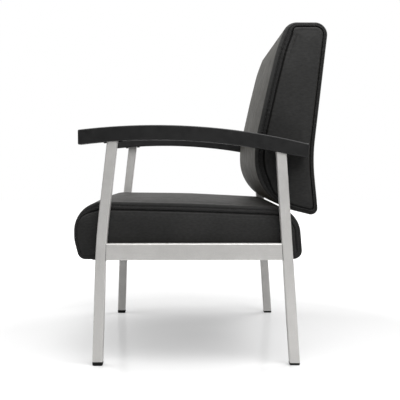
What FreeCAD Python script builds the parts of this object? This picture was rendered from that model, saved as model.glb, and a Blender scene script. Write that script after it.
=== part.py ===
import FreeCAD, Part
import math
import os

import Sketcher
from FreeCAD import Placement, Rotation, Vector

# Bariatric guest chair. Millimetres, Z up, the sitter faces -Y, and the chair is
# symmetric about X = 0. The origin lies on the floor under the middle of its outline.

SIZES = {
    # Steel frame
    "frame_width": 800.0,
    "leg_tube": 28.0,
    "leg_wall": 2.5,
    "tube_corner": 3.0,
    "front_foot_reach": 282.82,
    "front_leg_lean": 1.97,
    "front_leg_bend": 4.79,
    "front_leg_bend_height": 345.0,
    "front_leg_bend_radius": 1700.0,
    "rear_foot_reach": 257.18,
    "rear_leg_lean": 3.93,
    "rail_height": 45.0,
    "rail_thickness": 25.0,
    "rail_wall": 2.5,
    "rail_underside": 288.8,
    "cross_rail_width": 40.0,
    "cross_rail_height": 25.0,
    "cross_rail_wall": 2.5,
    "cross_rail_drop": 13.8,
    "cross_rail_gap": 4.0,
    "support_bar_width": 25.0,
    "support_bar_spacing": 300.0,
    # Glides
    "front_glide_height": 10.5,
    "rear_glide_height": 6.5,
    "glide_edge": 3.5,
    "glide_plug_length": 25.0,
    "glide_plug_gap": 0.4,
    # Arms
    "arm_front_overhang": 92.2,
    "arm_rear_overhang": 73.5,
    "arm_width": 52.0,
    "arm_overhang": 4.0,
    "arm_thickness": 39.8,
    "arm_rise": 217.0,
    "arm_apex_reach": 121.5,
    "arm_top_radius": 1700.0,
    "arm_tail_length": 55.0,
    "arm_tail_radius": 420.0,
    "arm_end_radius": 3.0,
    "arm_edge_radius": 2.8,
    "arm_core_width": 32.0,
    "arm_core_thickness": 5.0,
    "arm_core_depth": 10.0,
    "arm_core_overrun": 10.0,
    "arm_plate_margin": 4.0,
    "arm_plate_edge": 6.5,
    "arm_plate_thickness": 5.0,
    "arm_screw_gap": 1.75,
    "arm_screw_shank": 6.0,
    "arm_screw_length": 16.0,
    "arm_screw_head": 9.5,
    "arm_screw_head_height": 3.3,
    "arm_screw_socket": 4.0,
    "arm_screw_socket_depth": 2.4,
    "screw_clearance": 0.4,
    # Seat
    "cover_thickness": 2.0,
    "seat_side_gap": 2.0,
    "seat_nose_overhang": 65.2,
    "seat_rear_overhang": 34.5,
    "seat_thickness": 153.0,
    "seat_slope": 1.8,
    "seat_edge_bow": 2.5,
    "seat_crown": 9.0,
    "seat_bow_radius": 1400.0,
    "seat_nose_radius": 82.0,
    "seat_nose_tuck_angle": 14.0,
    "seat_nose_tuck_height": 56.0,
    "seat_nose_tuck_radius": 80.0,
    "seat_lip_radius": 24.0,
    "seat_rear_lean": 5.0,
    "seat_rear_radius": 78.0,
    "seat_heel_radius": 20.0,
    "side_roll_depth": 20.0,
    "side_roll_width": 22.0,
    "seat_panel_thickness": 18.0,
    "seat_nose_foam": 50.5,
    "seat_rear_foam": 33.5,
    "apron_thickness": 20.0,
    "dust_cover_thickness": 1.0,
    "seat_bolt_inset": 46.0,
    "seat_bolt_room": 3.4,
    "seat_bolt_shank": 8.0,
    "seat_bolt_length": 40.0,
    "seat_bolt_head": 13.0,
    "seat_bolt_head_height": 5.0,
    "seat_bolt_socket": 5.4,
    "seat_bolt_socket_depth": 3.6,
    "washer_diameter": 20.0,
    "washer_thickness": 1.6,
    "tnut_flange": 22.0,
    "tnut_flange_thickness": 1.6,
    "tnut_barrel": 11.0,
    "tnut_length": 12.0,
    # Back
    "back_side_gap": 3.0,
    "back_seat_gap": 4.5,
    "back_lumbar_forward": 77.4,
    "back_rise": 378.2,
    "back_lower_radius": 150.0,
    "back_underside_slope": 13.8,
    "back_lumbar_flat": 11.2,
    "back_lumbar_radius": 290.0,
    "back_recline_angle": 12.93,
    "back_edge_bow": 1.5,
    "back_crown": 8.0,
    "back_bow_rise": 197.0,
    "back_bow_radius": 1500.0,
    "back_top_front_radius": 40.0,
    "back_shoulder_drop": 70.0,
    "back_shoulder_lean": 21.4,
    "back_shoulder_radius": 450.0,
    "back_top_rear_radius": 35.0,
    "back_waist_depth": 163.4,
    "back_waist_rise": 2.2,
    "back_waist_radius": 500.0,
    "back_rear_lean": 6.38,
    "back_rear_flare_angle": 5.86,
    "back_heel_radius": 19.0,
    "back_side_foam": 10.0,
    "back_frame_depth": 90.0,
    "back_frame_lean": 4.0,
    "back_frame_drop": 92.0,
    "back_top_foam": 57.0,
    "stile_width": 70.0,
    "stile_thickness": 24.0,
    "back_rail_width": 60.0,
    "back_rail_thickness": 24.0,
    "back_rail_setback": 12.0,
    "back_panel_thickness": 9.0,
    "back_bolt_drop": 78.0,
    "back_bolt_spacing": 60.0,
    "back_bolt_shank": 8.0,
    "back_bolt_length": 46.0,
    "back_bolt_head": 13.0,
    "back_bolt_head_height": 5.0,
    "back_bolt_socket": 5.4,
    "back_bolt_socket_depth": 3.6,
    "back_boss": 18.0,
    "boss_hole_gap": 0.6,
}

# Places that follow from the sizes, as formulas of the second sheet.
PLACES = {
    "seat_deck_height": "Sizes.rail_underside + Sizes.rail_height - Sizes.cross_rail_drop",
    "seat_bolt_seat": "Places.seat_deck_height - Sizes.cross_rail_height - Sizes.washer_thickness",
    "seat_underside": "Places.seat_bolt_seat - Sizes.seat_bolt_head_height - Sizes.seat_bolt_room",
    "seat_height": "Places.seat_underside + Sizes.seat_thickness",
    "arm_apex_height": "Places.seat_height + Sizes.arm_rise",
    "trim_span": "2 * Sizes.arm_thickness + 3 * Sizes.leg_tube",
    "leg_x": "(Sizes.frame_width - Sizes.leg_tube) / 2",
    "leg_bore": "Sizes.leg_tube - 2 * Sizes.leg_wall",
    "leg_inner_face": "Sizes.frame_width / 2 - Sizes.leg_tube",
    "front_leg_run": "Sizes.front_leg_bend_height / cos(Sizes.front_leg_lean)"
                     " - Sizes.front_leg_bend_radius * tan(Sizes.front_leg_bend / 2)",
    "front_leg_upper": "Places.arm_apex_height + Sizes.arm_thickness - Sizes.front_leg_bend_height",
    "front_bend_y": "Sizes.front_leg_bend_height * tan(Sizes.front_leg_lean) - Sizes.front_foot_reach",
    "arm_under_apex": "Places.arm_apex_height - Sizes.arm_thickness",
    "arm_under_radius": "Sizes.arm_top_radius - Sizes.arm_thickness",
    "arm_centre_drop": "Sizes.arm_top_radius - Places.arm_apex_height",
    "arm_x": "Sizes.frame_width / 2 + Sizes.arm_overhang - Sizes.arm_width / 2",
    "front_top_y": "Places.front_bend_y + (Places.arm_under_apex - Sizes.front_leg_bend_height)"
                   " * tan(Sizes.front_leg_lean + Sizes.front_leg_bend)",
    "front_top_drop": "Places.arm_under_radius - sqrt(Places.arm_under_radius ^ 2"
                      " - (Places.front_top_y + Sizes.arm_apex_reach) ^ 2)",
    "front_top_z": "Places.arm_under_apex - Places.front_top_drop",
    "front_top_tilt": "-asin((Places.front_top_y + Sizes.arm_apex_reach) / Places.arm_under_radius)",
    "rear_top_first": "Sizes.rear_foot_reach - Places.arm_under_apex * tan(Sizes.rear_leg_lean)",
    "rear_top_level": "Places.arm_under_apex - Places.arm_under_radius + sqrt(Places.arm_under_radius ^ 2"
                      " - (Places.rear_top_first + Sizes.arm_apex_reach) ^ 2)",
    "rear_top_y": "Sizes.rear_foot_reach - Places.rear_top_level * tan(Sizes.rear_leg_lean)",
    "rear_top_drop": "Places.arm_under_radius - sqrt(Places.arm_under_radius ^ 2"
                     " - (Places.rear_top_y + Sizes.arm_apex_reach) ^ 2)",
    "rear_top_z": "Places.arm_under_apex - Places.rear_top_drop",
    "rear_top_tilt": "-asin((Places.rear_top_y + Sizes.arm_apex_reach) / Places.arm_under_radius)",
    "arm_front_reach": "Sizes.arm_front_overhang - Places.front_top_y",
    "arm_rear_reach": "Places.rear_top_y + Sizes.arm_rear_overhang",
    "arm_tail_y": "Places.arm_rear_reach - Sizes.arm_tail_length",
    "arm_plate_width": "Sizes.arm_width - Sizes.arm_overhang - Sizes.arm_plate_margin",
    "arm_screw_offset": "(Sizes.leg_tube + Sizes.arm_screw_head) / 2 + Sizes.arm_screw_gap",
    "arm_plate_length": "2 * (Places.arm_screw_offset + Sizes.arm_plate_edge)",
    "arm_plate_x": "(Sizes.frame_width - Places.arm_plate_width) / 2",
    "core_front_y": "Places.arm_plate_length / 2 + Sizes.arm_core_overrun - Places.front_top_y",
    "core_rear_y": "Places.rear_top_y + Places.arm_plate_length / 2 + Sizes.arm_core_overrun",
    "core_under_radius": "Places.arm_under_radius + Sizes.arm_core_depth",
    "rail_x": "Places.leg_x",
    "rail_z": "Sizes.rail_underside + Sizes.rail_height / 2",
    "rail_front_y": "Places.rail_z * tan(Sizes.front_leg_lean) - Sizes.front_foot_reach",
    "rail_rear_y": "Sizes.rear_foot_reach - Places.rail_z * tan(Sizes.rear_leg_lean)",
    "cross_rail_length": "2 * Places.rail_x - Sizes.rail_thickness",
    "cross_rail_z": "Places.seat_deck_height - Sizes.cross_rail_height / 2",
    "cross_rail_inset": "Sizes.leg_tube / 2 + Sizes.cross_rail_gap + Sizes.cross_rail_width / 2",
    "front_cross_y": "Places.rail_front_y + Places.cross_rail_inset",
    "rear_cross_y": "Places.rail_rear_y - Places.cross_rail_inset",
    "support_bar_length": "Places.rear_cross_y - Places.front_cross_y - Sizes.cross_rail_width",
    "support_bar_y": "(Places.rear_cross_y + Places.front_cross_y) / 2",
    "seat_half": "Places.leg_inner_face - Sizes.seat_side_gap",
    "deck_half": "Places.seat_half - Sizes.cover_thickness - Sizes.side_roll_width",
    "seat_bolt_x": "Places.deck_half - Sizes.seat_bolt_inset",
    "seat_front": "Places.rail_front_y - Sizes.leg_tube / 2 - Sizes.seat_nose_overhang",
    "seat_rear": "Places.rail_rear_y + Sizes.leg_tube / 2 + Sizes.seat_rear_overhang",
    "deck_front": "Places.seat_front + Sizes.seat_nose_foam",
    "deck_rear": "Places.seat_rear - Sizes.seat_rear_foam",
    "apron_underside": "Places.seat_underside + Sizes.cover_thickness",
    "deck_top": "Places.seat_deck_height + Sizes.seat_panel_thickness",
    "back_half": "Sizes.frame_width / 2 + Sizes.arm_overhang - Sizes.arm_width - Sizes.back_side_gap",
    "stile_face": "Places.back_half - Sizes.cover_thickness - Sizes.back_side_foam",
    "boss_length": "Places.leg_inner_face - Places.stile_face",
    "seat_corner_z": "(Places.seat_height - tan(Sizes.seat_slope) * (Places.seat_rear"
                     " + tan(Sizes.seat_rear_lean) * Places.seat_underside))"
                     " / (1 - tan(Sizes.seat_slope) * tan(Sizes.seat_rear_lean))",
    "seat_corner_y": "Places.seat_rear - tan(Sizes.seat_rear_lean)"
                     " * (Places.seat_corner_z - Places.seat_underside)",
    "seat_roll_scale": "Sizes.seat_rear_radius / cos(Sizes.seat_rear_lean + Sizes.seat_slope)",
    "seat_roll_y": "Places.seat_corner_y - Places.seat_roll_scale"
                   " * (cos(Sizes.seat_slope) - sin(Sizes.seat_rear_lean))",
    "seat_roll_z": "Places.seat_corner_z - Places.seat_roll_scale"
                   " * (cos(Sizes.seat_rear_lean) - sin(Sizes.seat_slope))",
    "back_front": "Places.rail_rear_y - (Places.seat_height - Places.rail_z) * tan(Sizes.rear_leg_lean)"
                  " - Sizes.back_lumbar_forward",
    "back_lumbar_z": "Places.seat_roll_z + sqrt((Sizes.seat_rear_radius + Sizes.back_lower_radius"
                     " + Sizes.back_seat_gap) ^ 2"
                     " - (Places.back_front + Sizes.back_lower_radius - Places.seat_roll_y) ^ 2)",
    "back_underside": "Places.back_lumbar_z - Sizes.back_lower_radius"
                      " * tan((90 - Sizes.back_underside_slope) / 2)",
    "back_bolt_low": "Places.back_lumbar_z - Sizes.back_bolt_drop",
    "back_bolt_high": "Places.back_bolt_low + Sizes.back_bolt_spacing",
    "back_frame_underside": "Places.back_lumbar_z - Sizes.back_frame_drop",
    "back_frame_y": "Places.back_front + Sizes.back_frame_depth",
    "back_frame_height": "(Sizes.back_rise + Sizes.back_frame_drop - Sizes.back_top_foam)"
                         " / cos(Sizes.back_frame_lean)",
    "back_bolt_seat": "Places.stile_face - Sizes.stile_thickness - Sizes.washer_thickness",
}

SIDES = {"right": -1, "left": 1}
X_AXIS = Vector(1, 0, 0)
Y_AXIS = Vector(0, 1, 0)
TOOL_MARGIN = 1.0
START_GUESS = 20.0
FILLET_ROOM = 0.98
ROLL_STEPS = (1.0, 0.93, 0.75, 0.45, 0.0)
CROWN_STEPS = (0.7, 0.35, 0.0)

DOC = FreeCAD.newDocument("guest_chair")
NODES = []


def fill_sheet(name, cells):
    """Adds a sheet with one named cell in each row."""
    sheet = DOC.addObject("Spreadsheet::Sheet", name)
    for row, (alias, text) in enumerate(cells.items(), 1):
        sheet.set(f"A{row}", alias.replace("_", " "))
        sheet.setAlias(f"B{row}", alias)
        sheet.set(f"B{row}", text)
    DOC.recompute()
    return sheet


SIZE_SHEET = fill_sheet("Sizes", {alias: str(value) for alias, value in SIZES.items()})
PLACE_SHEET = fill_sheet("Places", {alias: "=" + formula for alias, formula in PLACES.items()})


def size(alias):
    """A driving size, as the sheet holds it."""
    return float(SIZE_SHEET.get(alias))


def place(alias):
    """A place that follows from the sizes."""
    return float(PLACE_SHEET.get(alias))


def bind(thing, **formulas):
    """Binds properties of one object to formulas."""
    for name, formula in formulas.items():
        thing.setExpression(name, str(formula))
    return thing


def put(thing, x="0", y="0", z="0", axis=X_AXIS, angle=None):
    """Binds the place of one object, and its turn about an axis through that place."""
    thing.Placement = Placement(Vector(), Rotation(axis, 1 if angle else 0))
    for name, formula in (("x", x), ("y", y), ("z", z)):
        thing.setExpression(f"Placement.Base.{name}", str(formula))
    if angle:
        thing.setExpression("Placement.Rotation.Angle", angle)
    return thing


def node(thing, label):
    """Marks an object as a sub-part of the chair."""
    thing.Label = label
    NODES.append(thing)
    return thing


def box(name, length, width, height):
    return bind(DOC.addObject("Part::Box", name), Length=length, Width=width, Height=height)


def cylinder(name, diameter, height):
    return bind(DOC.addObject("Part::Cylinder", name), Radius=f"({diameter}) / 2", Height=height)


def fuse(name, *things):
    joined = DOC.addObject("Part::MultiFuse", name)
    joined.Shapes = list(things)
    return joined


def cut(name, base, *tools):
    cutter = tools[0] if len(tools) == 1 else fuse(name + "_tools", *tools)
    result = DOC.addObject("Part::Cut", name)
    result.Base = base
    result.Tool = cutter
    return result


def group(name, things):
    several = DOC.addObject("Part::Compound", name)
    several.Links = list(things)
    return several


def sketch_in(body, role, name):
    """A sketch on one of the body's own origin planes."""
    sketch = body.newObject("Sketcher::SketchObject", name)
    plane = next(item for item in body.Origin.OriginFeatures if item.Role == role)
    sketch.AttachmentSupport = [(plane, "")]
    sketch.MapMode = "FlatFace"
    return sketch


def measure(sketch, formula, *constraint):
    """Adds one dimension to a sketch and binds it to a formula."""
    number = sketch.addConstraint(Sketcher.Constraint(*constraint))
    sketch.setExpression(f"Constraints[{number}]", str(formula))


def rectangle(sketch, wide, tall):
    """Adds a rectangle about the sketch's origin."""
    first = sketch.GeometryCount
    guess = START_GUESS
    corners = [Vector(-guess, -guess), Vector(guess, -guess), Vector(guess, guess), Vector(-guess, guess)]
    for start, end in zip(corners, corners[1:] + corners[:1]):
        sketch.addGeometry(Part.LineSegment(start, end))
    for step in range(4):
        sketch.addConstraint(Sketcher.Constraint("Coincident", first + step, 2, first + (step + 1) % 4, 1))
        kind = "Vertical" if step % 2 else "Horizontal"
        sketch.addConstraint(Sketcher.Constraint(kind, first + step))
    sketch.addConstraint(Sketcher.Constraint("Symmetric", first, 1, first + 1, 2, -1, 1))
    measure(sketch, wide, "DistanceX", first, 1, first, 2, 2 * guess)
    measure(sketch, tall, "DistanceY", first + 1, 1, first + 1, 2, 2 * guess)


def pad(body, sketch, length, midplane=False):
    feature = body.newObject("PartDesign::Pad", "Pad")
    feature.Profile = sketch
    feature.Midplane = midplane
    bind(feature, Length=length)
    DOC.recompute()
    return feature


def round_edges(body, base, radius, chosen=None):
    """Rounds the base feature's edges that the test chooses, or all of them."""
    feature = body.newObject("PartDesign::Fillet", "Fillet")
    if chosen is None:
        feature.Base = (base, [])
        feature.UseAllEdges = True
    else:
        edges = [f"Edge{n}" for n, edge in enumerate(base.Shape.Edges, 1) if chosen(edge)]
        feature.Base = (base, edges)
    bind(feature, Radius=radius)
    DOC.recompute()
    return feature


def bar_body(name, role, wide, tall, length, corner=None, midplane=True):
    """A straight bar with a rectangular section, its long edges rounded where a corner is given."""
    body = DOC.addObject("PartDesign::Body", name)
    sketch = sketch_in(body, role, "Section")
    rectangle(sketch, wide, tall)
    feature = pad(body, sketch, length, midplane)
    if corner:
        longest = max(edge.Length for edge in feature.Shape.Edges)
        round_edges(body, feature, corner, lambda edge: edge.Length > longest - TOOL_MARGIN)
    return body


def tube(name, role, wide, tall, wall, length):
    """A straight tube that is open at both ends."""
    outer = bar_body(name + "_outside", role, wide, tall, length, "Sizes.tube_corner")
    bore = bar_body(name + "_bore", role, f"{wide} - 2 * {wall}", f"{tall} - 2 * {wall}",
                    f"{length} + {2 * TOOL_MARGIN}")
    return cut(name, outer, bore)


def bent_bar(name, section):
    """The front leg's bent line with a square section, in the frame of its lower run."""
    body = DOC.addObject("PartDesign::Body", name)
    profile = sketch_in(body, "XY_Plane", "Section")
    rectangle(profile, section, section)
    path = sketch_in(body, "YZ_Plane", "Bend")
    turn = math.radians(size("front_leg_bend"))
    radius = size("front_leg_bend_radius")
    run = place("front_leg_run")
    upper = place("front_leg_upper")
    bend_end = Vector(radius - radius * math.cos(turn), run + radius * math.sin(turn))
    circle = Part.Circle(Vector(radius, run), Vector(0, 0, 1), radius)
    path.addGeometry(Part.LineSegment(Vector(), Vector(0, run)))
    path.addGeometry(Part.ArcOfCircle(circle, math.pi - turn, math.pi))
    path.addGeometry(Part.LineSegment(bend_end, bend_end + Vector(math.sin(turn), math.cos(turn)) * upper))
    path.addConstraint(Sketcher.Constraint("Coincident", 0, 1, -1, 1))
    path.addConstraint(Sketcher.Constraint("Vertical", 0))
    path.addConstraint(Sketcher.Constraint("Tangent", 0, 2, 1, 2))
    path.addConstraint(Sketcher.Constraint("Tangent", 1, 1, 2, 1))
    measure(path, "Places.front_leg_run", "DistanceY", 0, 1, 0, 2, run)
    measure(path, "Sizes.front_leg_bend_radius", "Radius", 1, radius)
    measure(path, "Sizes.front_leg_bend * 1 deg", "Angle", 1, turn)
    measure(path, "Places.front_leg_upper", "Distance", 2, upper)
    pipe = body.newObject("PartDesign::AdditivePipe", "Pipe")
    pipe.Profile = profile
    pipe.Spine = (path, ["Edge1", "Edge2", "Edge3"])
    DOC.recompute()
    return body, pipe


def block(name, wide, long, tall):
    """A block that stands on its own origin, centred there."""
    return bar_body(name, "XY_Plane", wide, long, tall, midplane=False)


def bolt(name, kind):
    """A bolt whose shank rises from its origin, with the head and its hexagon socket below."""
    stem = cylinder(name + "_shank", f"Sizes.{kind}_shank", f"Sizes.{kind}_length")
    cap = cylinder(name + "_head", f"Sizes.{kind}_head", f"Sizes.{kind}_head_height")
    put(cap, z=f"-Sizes.{kind}_head_height")
    socket = bind(DOC.addObject("Part::Prism", name + "_socket"), Circumradius=f"Sizes.{kind}_socket / 2",
                  Height=f"Sizes.{kind}_socket_depth + {TOOL_MARGIN}")
    socket.Polygon = 6
    put(socket, z=f"-Sizes.{kind}_head_height - {TOOL_MARGIN}")
    return cut(name, fuse(name + "_blank", stem, cap), socket)


def washer(name, kind):
    """A washer for one kind of bolt, standing on its own origin."""
    disc = cylinder(name + "_disc", "Sizes.washer_diameter", "Sizes.washer_thickness")
    bore = cylinder(name + "_bore", f"Sizes.{kind}_shank + Sizes.screw_clearance",
                    f"Sizes.washer_thickness + {2 * TOOL_MARGIN}")
    return cut(name, disc, put(bore, z=-TOOL_MARGIN))


def leg_frame(thing, end, side):
    """Puts a body that rises along a leg's axis on that leg's foot point."""
    sign = SIDES[side]
    if end == "front":
        return put(thing, f"{sign} * Places.leg_x", "-Sizes.front_foot_reach", 0, angle="-Sizes.front_leg_lean")
    return put(thing, f"{sign} * Places.leg_x", "Sizes.rear_foot_reach", 0, angle="Sizes.rear_leg_lean")


def plate_frame(thing, end, side, along="0", deep=0):
    """Puts a body on the arm's underside over a leg.

    along is measured along the plate from its middle, and deep downwards from its lower face.
    """
    sign = SIDES[side]
    top = f"Places.{end}_top"
    return put(thing, f"{sign} * Places.arm_plate_x",
               f"{top}_y + ({along}) * cos({top}_tilt) + {deep} * sin({top}_tilt)",
               f"{top}_z + ({along}) * sin({top}_tilt) - {deep} * cos({top}_tilt)", angle=f"{top}_tilt")


def leg(end, side):
    """One leg tube, cut level above its glide and to the slope of the arm at its top.

    Returns the leg's solid outline, which the side rail is coped to.
    """
    name = f"{side}_{end}_leg"
    if end == "front":
        bar, pipe = bent_bar(name + "_outside", "Sizes.leg_tube")
        round_edges(bar, pipe, "Sizes.tube_corner")
        bore, _ = bent_bar(name + "_bore", "Places.leg_bore")
    else:
        length = "Places.arm_apex_height + Sizes.arm_thickness"
        bar = bar_body(name + "_outside", "XY_Plane", "Sizes.leg_tube", "Sizes.leg_tube", length,
                       "Sizes.tube_corner", midplane=False)
        bore = bar_body(name + "_bore", "XY_Plane", "Places.leg_bore", "Places.leg_bore", length,
                        midplane=False)
    leg_frame(bar, end, side)
    leg_frame(bore, end, side)
    foot_y = "-Sizes.front_foot_reach" if end == "front" else "Sizes.rear_foot_reach"
    floor_cut = block(name + "_foot_cut", "Places.trim_span", "Places.trim_span", "Places.trim_span")
    put(floor_cut, f"{SIDES[side]} * Places.leg_x", foot_y, f"Sizes.{end}_glide_height - Places.trim_span")
    top_cut = block(name + "_top_cut", "Places.trim_span", "Places.trim_span", "Places.trim_span")
    plate_frame(top_cut, end, side)
    node(cut(name, bar, bore, floor_cut, top_cut), name)
    return bar


def glide(end, side):
    """A plastic foot: a pad with a rounded lower edge, and a plug up the leg's bore."""
    name = f"{side}_{end}_glide"
    sign = SIDES[side]
    foot = "-Sizes.front_foot_reach + {0} * tan(Sizes.front_leg_lean)"
    if end == "rear":
        foot = "Sizes.rear_foot_reach - {0} * tan(Sizes.rear_leg_lean)"
    height = f"Sizes.{end}_glide_height"
    body = DOC.addObject("PartDesign::Body", name + "_pad")
    sketch = sketch_in(body, "XY_Plane", "Section")
    rectangle(sketch, "Sizes.leg_tube", "Sizes.leg_tube")
    feature = pad(body, sketch, height)
    upright = round_edges(body, feature, "Sizes.tube_corner",
                          lambda edge: abs(edge.BoundBox.ZLength) > TOOL_MARGIN)
    round_edges(body, upright, "Sizes.glide_edge", lambda edge: edge.BoundBox.ZMax < TOOL_MARGIN / 10)
    put(body, f"{sign} * Places.leg_x", foot.format(height), 0)
    plug_width = "Places.leg_bore - 2 * Sizes.glide_plug_gap"
    plug = block(name + "_plug", plug_width, plug_width, f"Sizes.glide_plug_length + {height} / 2")
    lean = "-Sizes.front_leg_lean" if end == "front" else "Sizes.rear_leg_lean"
    put(plug, f"{sign} * Places.leg_x", foot.format(f"{height} / 2"), f"{height} / 2", angle=lean)
    node(fuse(name, body, plug), name)


def side_rail(side, bars):
    """The rail between one side's legs, coped to both."""
    name = f"{side}_side_rail"
    rail = tube(name + "_tube", "XZ_Plane", "Sizes.rail_thickness", "Sizes.rail_height",
                "Sizes.rail_wall", "Places.rail_rear_y - Places.rail_front_y")
    put(rail, f"{SIDES[side]} * Places.rail_x", "(Places.rail_rear_y + Places.rail_front_y) / 2",
        "Places.rail_z")
    node(cut(name, rail, *bars), name)


def bolt_holes(name, reach):
    """Three bolt holes down through one cross rail."""
    holes = []
    for step in (-1, 0, 1):
        hole = cylinder(f"{name}_hole_{step + 1}", "Sizes.seat_bolt_shank + Sizes.screw_clearance",
                        f"Sizes.cross_rail_height + {2 * TOOL_MARGIN}")
        holes.append(put(hole, f"{step} * Places.seat_bolt_x", reach,
                         f"Places.seat_deck_height - Sizes.cross_rail_height - {TOOL_MARGIN}"))
    return holes


def seat_supports():
    """Cross rails between the side rails, and two bars between the cross rails."""
    for name, reach in (("front_cross_rail", "Places.front_cross_y"),
                        ("rear_cross_rail", "Places.rear_cross_y")):
        rail = tube(name + "_tube", "YZ_Plane", "Sizes.cross_rail_width", "Sizes.cross_rail_height",
                    "Sizes.cross_rail_wall", "Places.cross_rail_length")
        put(rail, 0, reach, "Places.cross_rail_z")
        node(cut(name, rail, *bolt_holes(name, reach)), name)
    for side, sign in SIDES.items():
        name = f"{side}_support_bar"
        bar = tube(name, "XZ_Plane", "Sizes.support_bar_width", "Sizes.cross_rail_height",
                   "Sizes.cross_rail_wall", "Places.support_bar_length")
        put(bar, f"{sign} * Sizes.support_bar_spacing / 2", "Places.support_bar_y", "Places.cross_rail_z")
        node(bar, name)


def arm_outline(sketch):
    """The arm from the side: a bowed top, a parallel underside and a tail that levels out."""
    apex = -size("arm_apex_reach")
    centre = Vector(apex, -place("arm_centre_drop"))
    radius = size("arm_top_radius")
    under = place("arm_under_radius")
    front = -place("arm_front_reach")
    rear = place("arm_rear_reach")
    tail = place("arm_tail_y")

    def angle_at(y, arc_radius):
        return math.acos((y - apex) / arc_radius)

    joint = angle_at(tail, under)
    outward = Vector(math.cos(joint), math.sin(joint))
    tail_radius = size("arm_tail_radius")
    tail_centre = centre + outward * (under + tail_radius)
    tail_end = 2 * math.pi - math.acos((rear - tail_centre.x) / tail_radius)
    normal = Vector(0, 0, 1)
    top = Part.ArcOfCircle(Part.Circle(centre, normal, radius), angle_at(rear, radius), angle_at(front, radius))
    below = Part.ArcOfCircle(Part.Circle(centre, normal, under), joint, angle_at(front, under))
    curl = Part.ArcOfCircle(Part.Circle(tail_centre, normal, tail_radius), joint + math.pi, tail_end)
    sketch.addGeometry(top)
    sketch.addGeometry(below)
    sketch.addGeometry(curl)
    sketch.addGeometry(Part.LineSegment(curl.EndPoint, top.StartPoint))
    sketch.addGeometry(Part.LineSegment(below.EndPoint, top.EndPoint))
    for joined in ((0, 3, 1, 3), (2, 2, 3, 1), (3, 2, 0, 1), (1, 2, 4, 1), (4, 2, 0, 2)):
        sketch.addConstraint(Sketcher.Constraint("Coincident", *joined))
    sketch.addConstraint(Sketcher.Constraint("Tangent", 1, 1, 2, 1))
    sketch.addConstraint(Sketcher.Constraint("Vertical", 3))
    sketch.addConstraint(Sketcher.Constraint("Vertical", 4))
    measure(sketch, "Sizes.arm_apex_reach", "DistanceX", 0, 3, -1, 1, -apex)
    measure(sketch, "Places.arm_centre_drop", "DistanceY", 0, 3, -1, 1, -centre.y)
    measure(sketch, "Sizes.arm_top_radius", "Radius", 0, radius)
    measure(sketch, "Places.arm_under_radius", "Radius", 1, under)
    measure(sketch, "Sizes.arm_tail_radius", "Radius", 2, tail_radius)
    measure(sketch, "Places.arm_rear_reach", "DistanceX", -1, 1, 0, 1, rear)
    measure(sketch, "Places.arm_front_reach", "DistanceX", 0, 2, -1, 1, -front)
    measure(sketch, "Places.arm_tail_y", "DistanceX", -1, 1, 1, 1, tail)


def core_outline(sketch):
    """The steel bar in the arm, bowed about the arm's own centre."""
    apex = -size("arm_apex_reach")
    centre = Vector(apex, -place("arm_centre_drop"))
    front = -place("core_front_y")
    rear = place("core_rear_y")
    arcs = []
    for radius in (place("core_under_radius"), place("core_under_radius") + size("arm_core_thickness")):
        circle = Part.Circle(centre, Vector(0, 0, 1), radius)
        start = math.acos((rear - apex) / radius)
        arcs.append(Part.ArcOfCircle(circle, start, math.acos((front - apex) / radius)))
    below, above = arcs
    sketch.addGeometry(below)
    sketch.addGeometry(above)
    sketch.addGeometry(Part.LineSegment(below.StartPoint, above.StartPoint))
    sketch.addGeometry(Part.LineSegment(below.EndPoint, above.EndPoint))
    for joined in ((0, 3, 1, 3), (0, 1, 2, 1), (2, 2, 1, 1), (0, 2, 3, 1), (3, 2, 1, 2)):
        sketch.addConstraint(Sketcher.Constraint("Coincident", *joined))
    sketch.addConstraint(Sketcher.Constraint("Vertical", 2))
    sketch.addConstraint(Sketcher.Constraint("Vertical", 3))
    measure(sketch, "Sizes.arm_apex_reach", "DistanceX", 0, 3, -1, 1, -apex)
    measure(sketch, "Places.arm_centre_drop", "DistanceY", 0, 3, -1, 1, -centre.y)
    measure(sketch, "Places.core_under_radius", "Radius", 0, below.Radius)
    measure(sketch, "Places.core_under_radius + Sizes.arm_core_thickness", "Radius", 1, above.Radius)
    measure(sketch, "Places.core_rear_y", "DistanceX", -1, 1, 0, 1, rear)
    measure(sketch, "Places.core_front_y", "DistanceX", 0, 2, -1, 1, -front)


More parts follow.
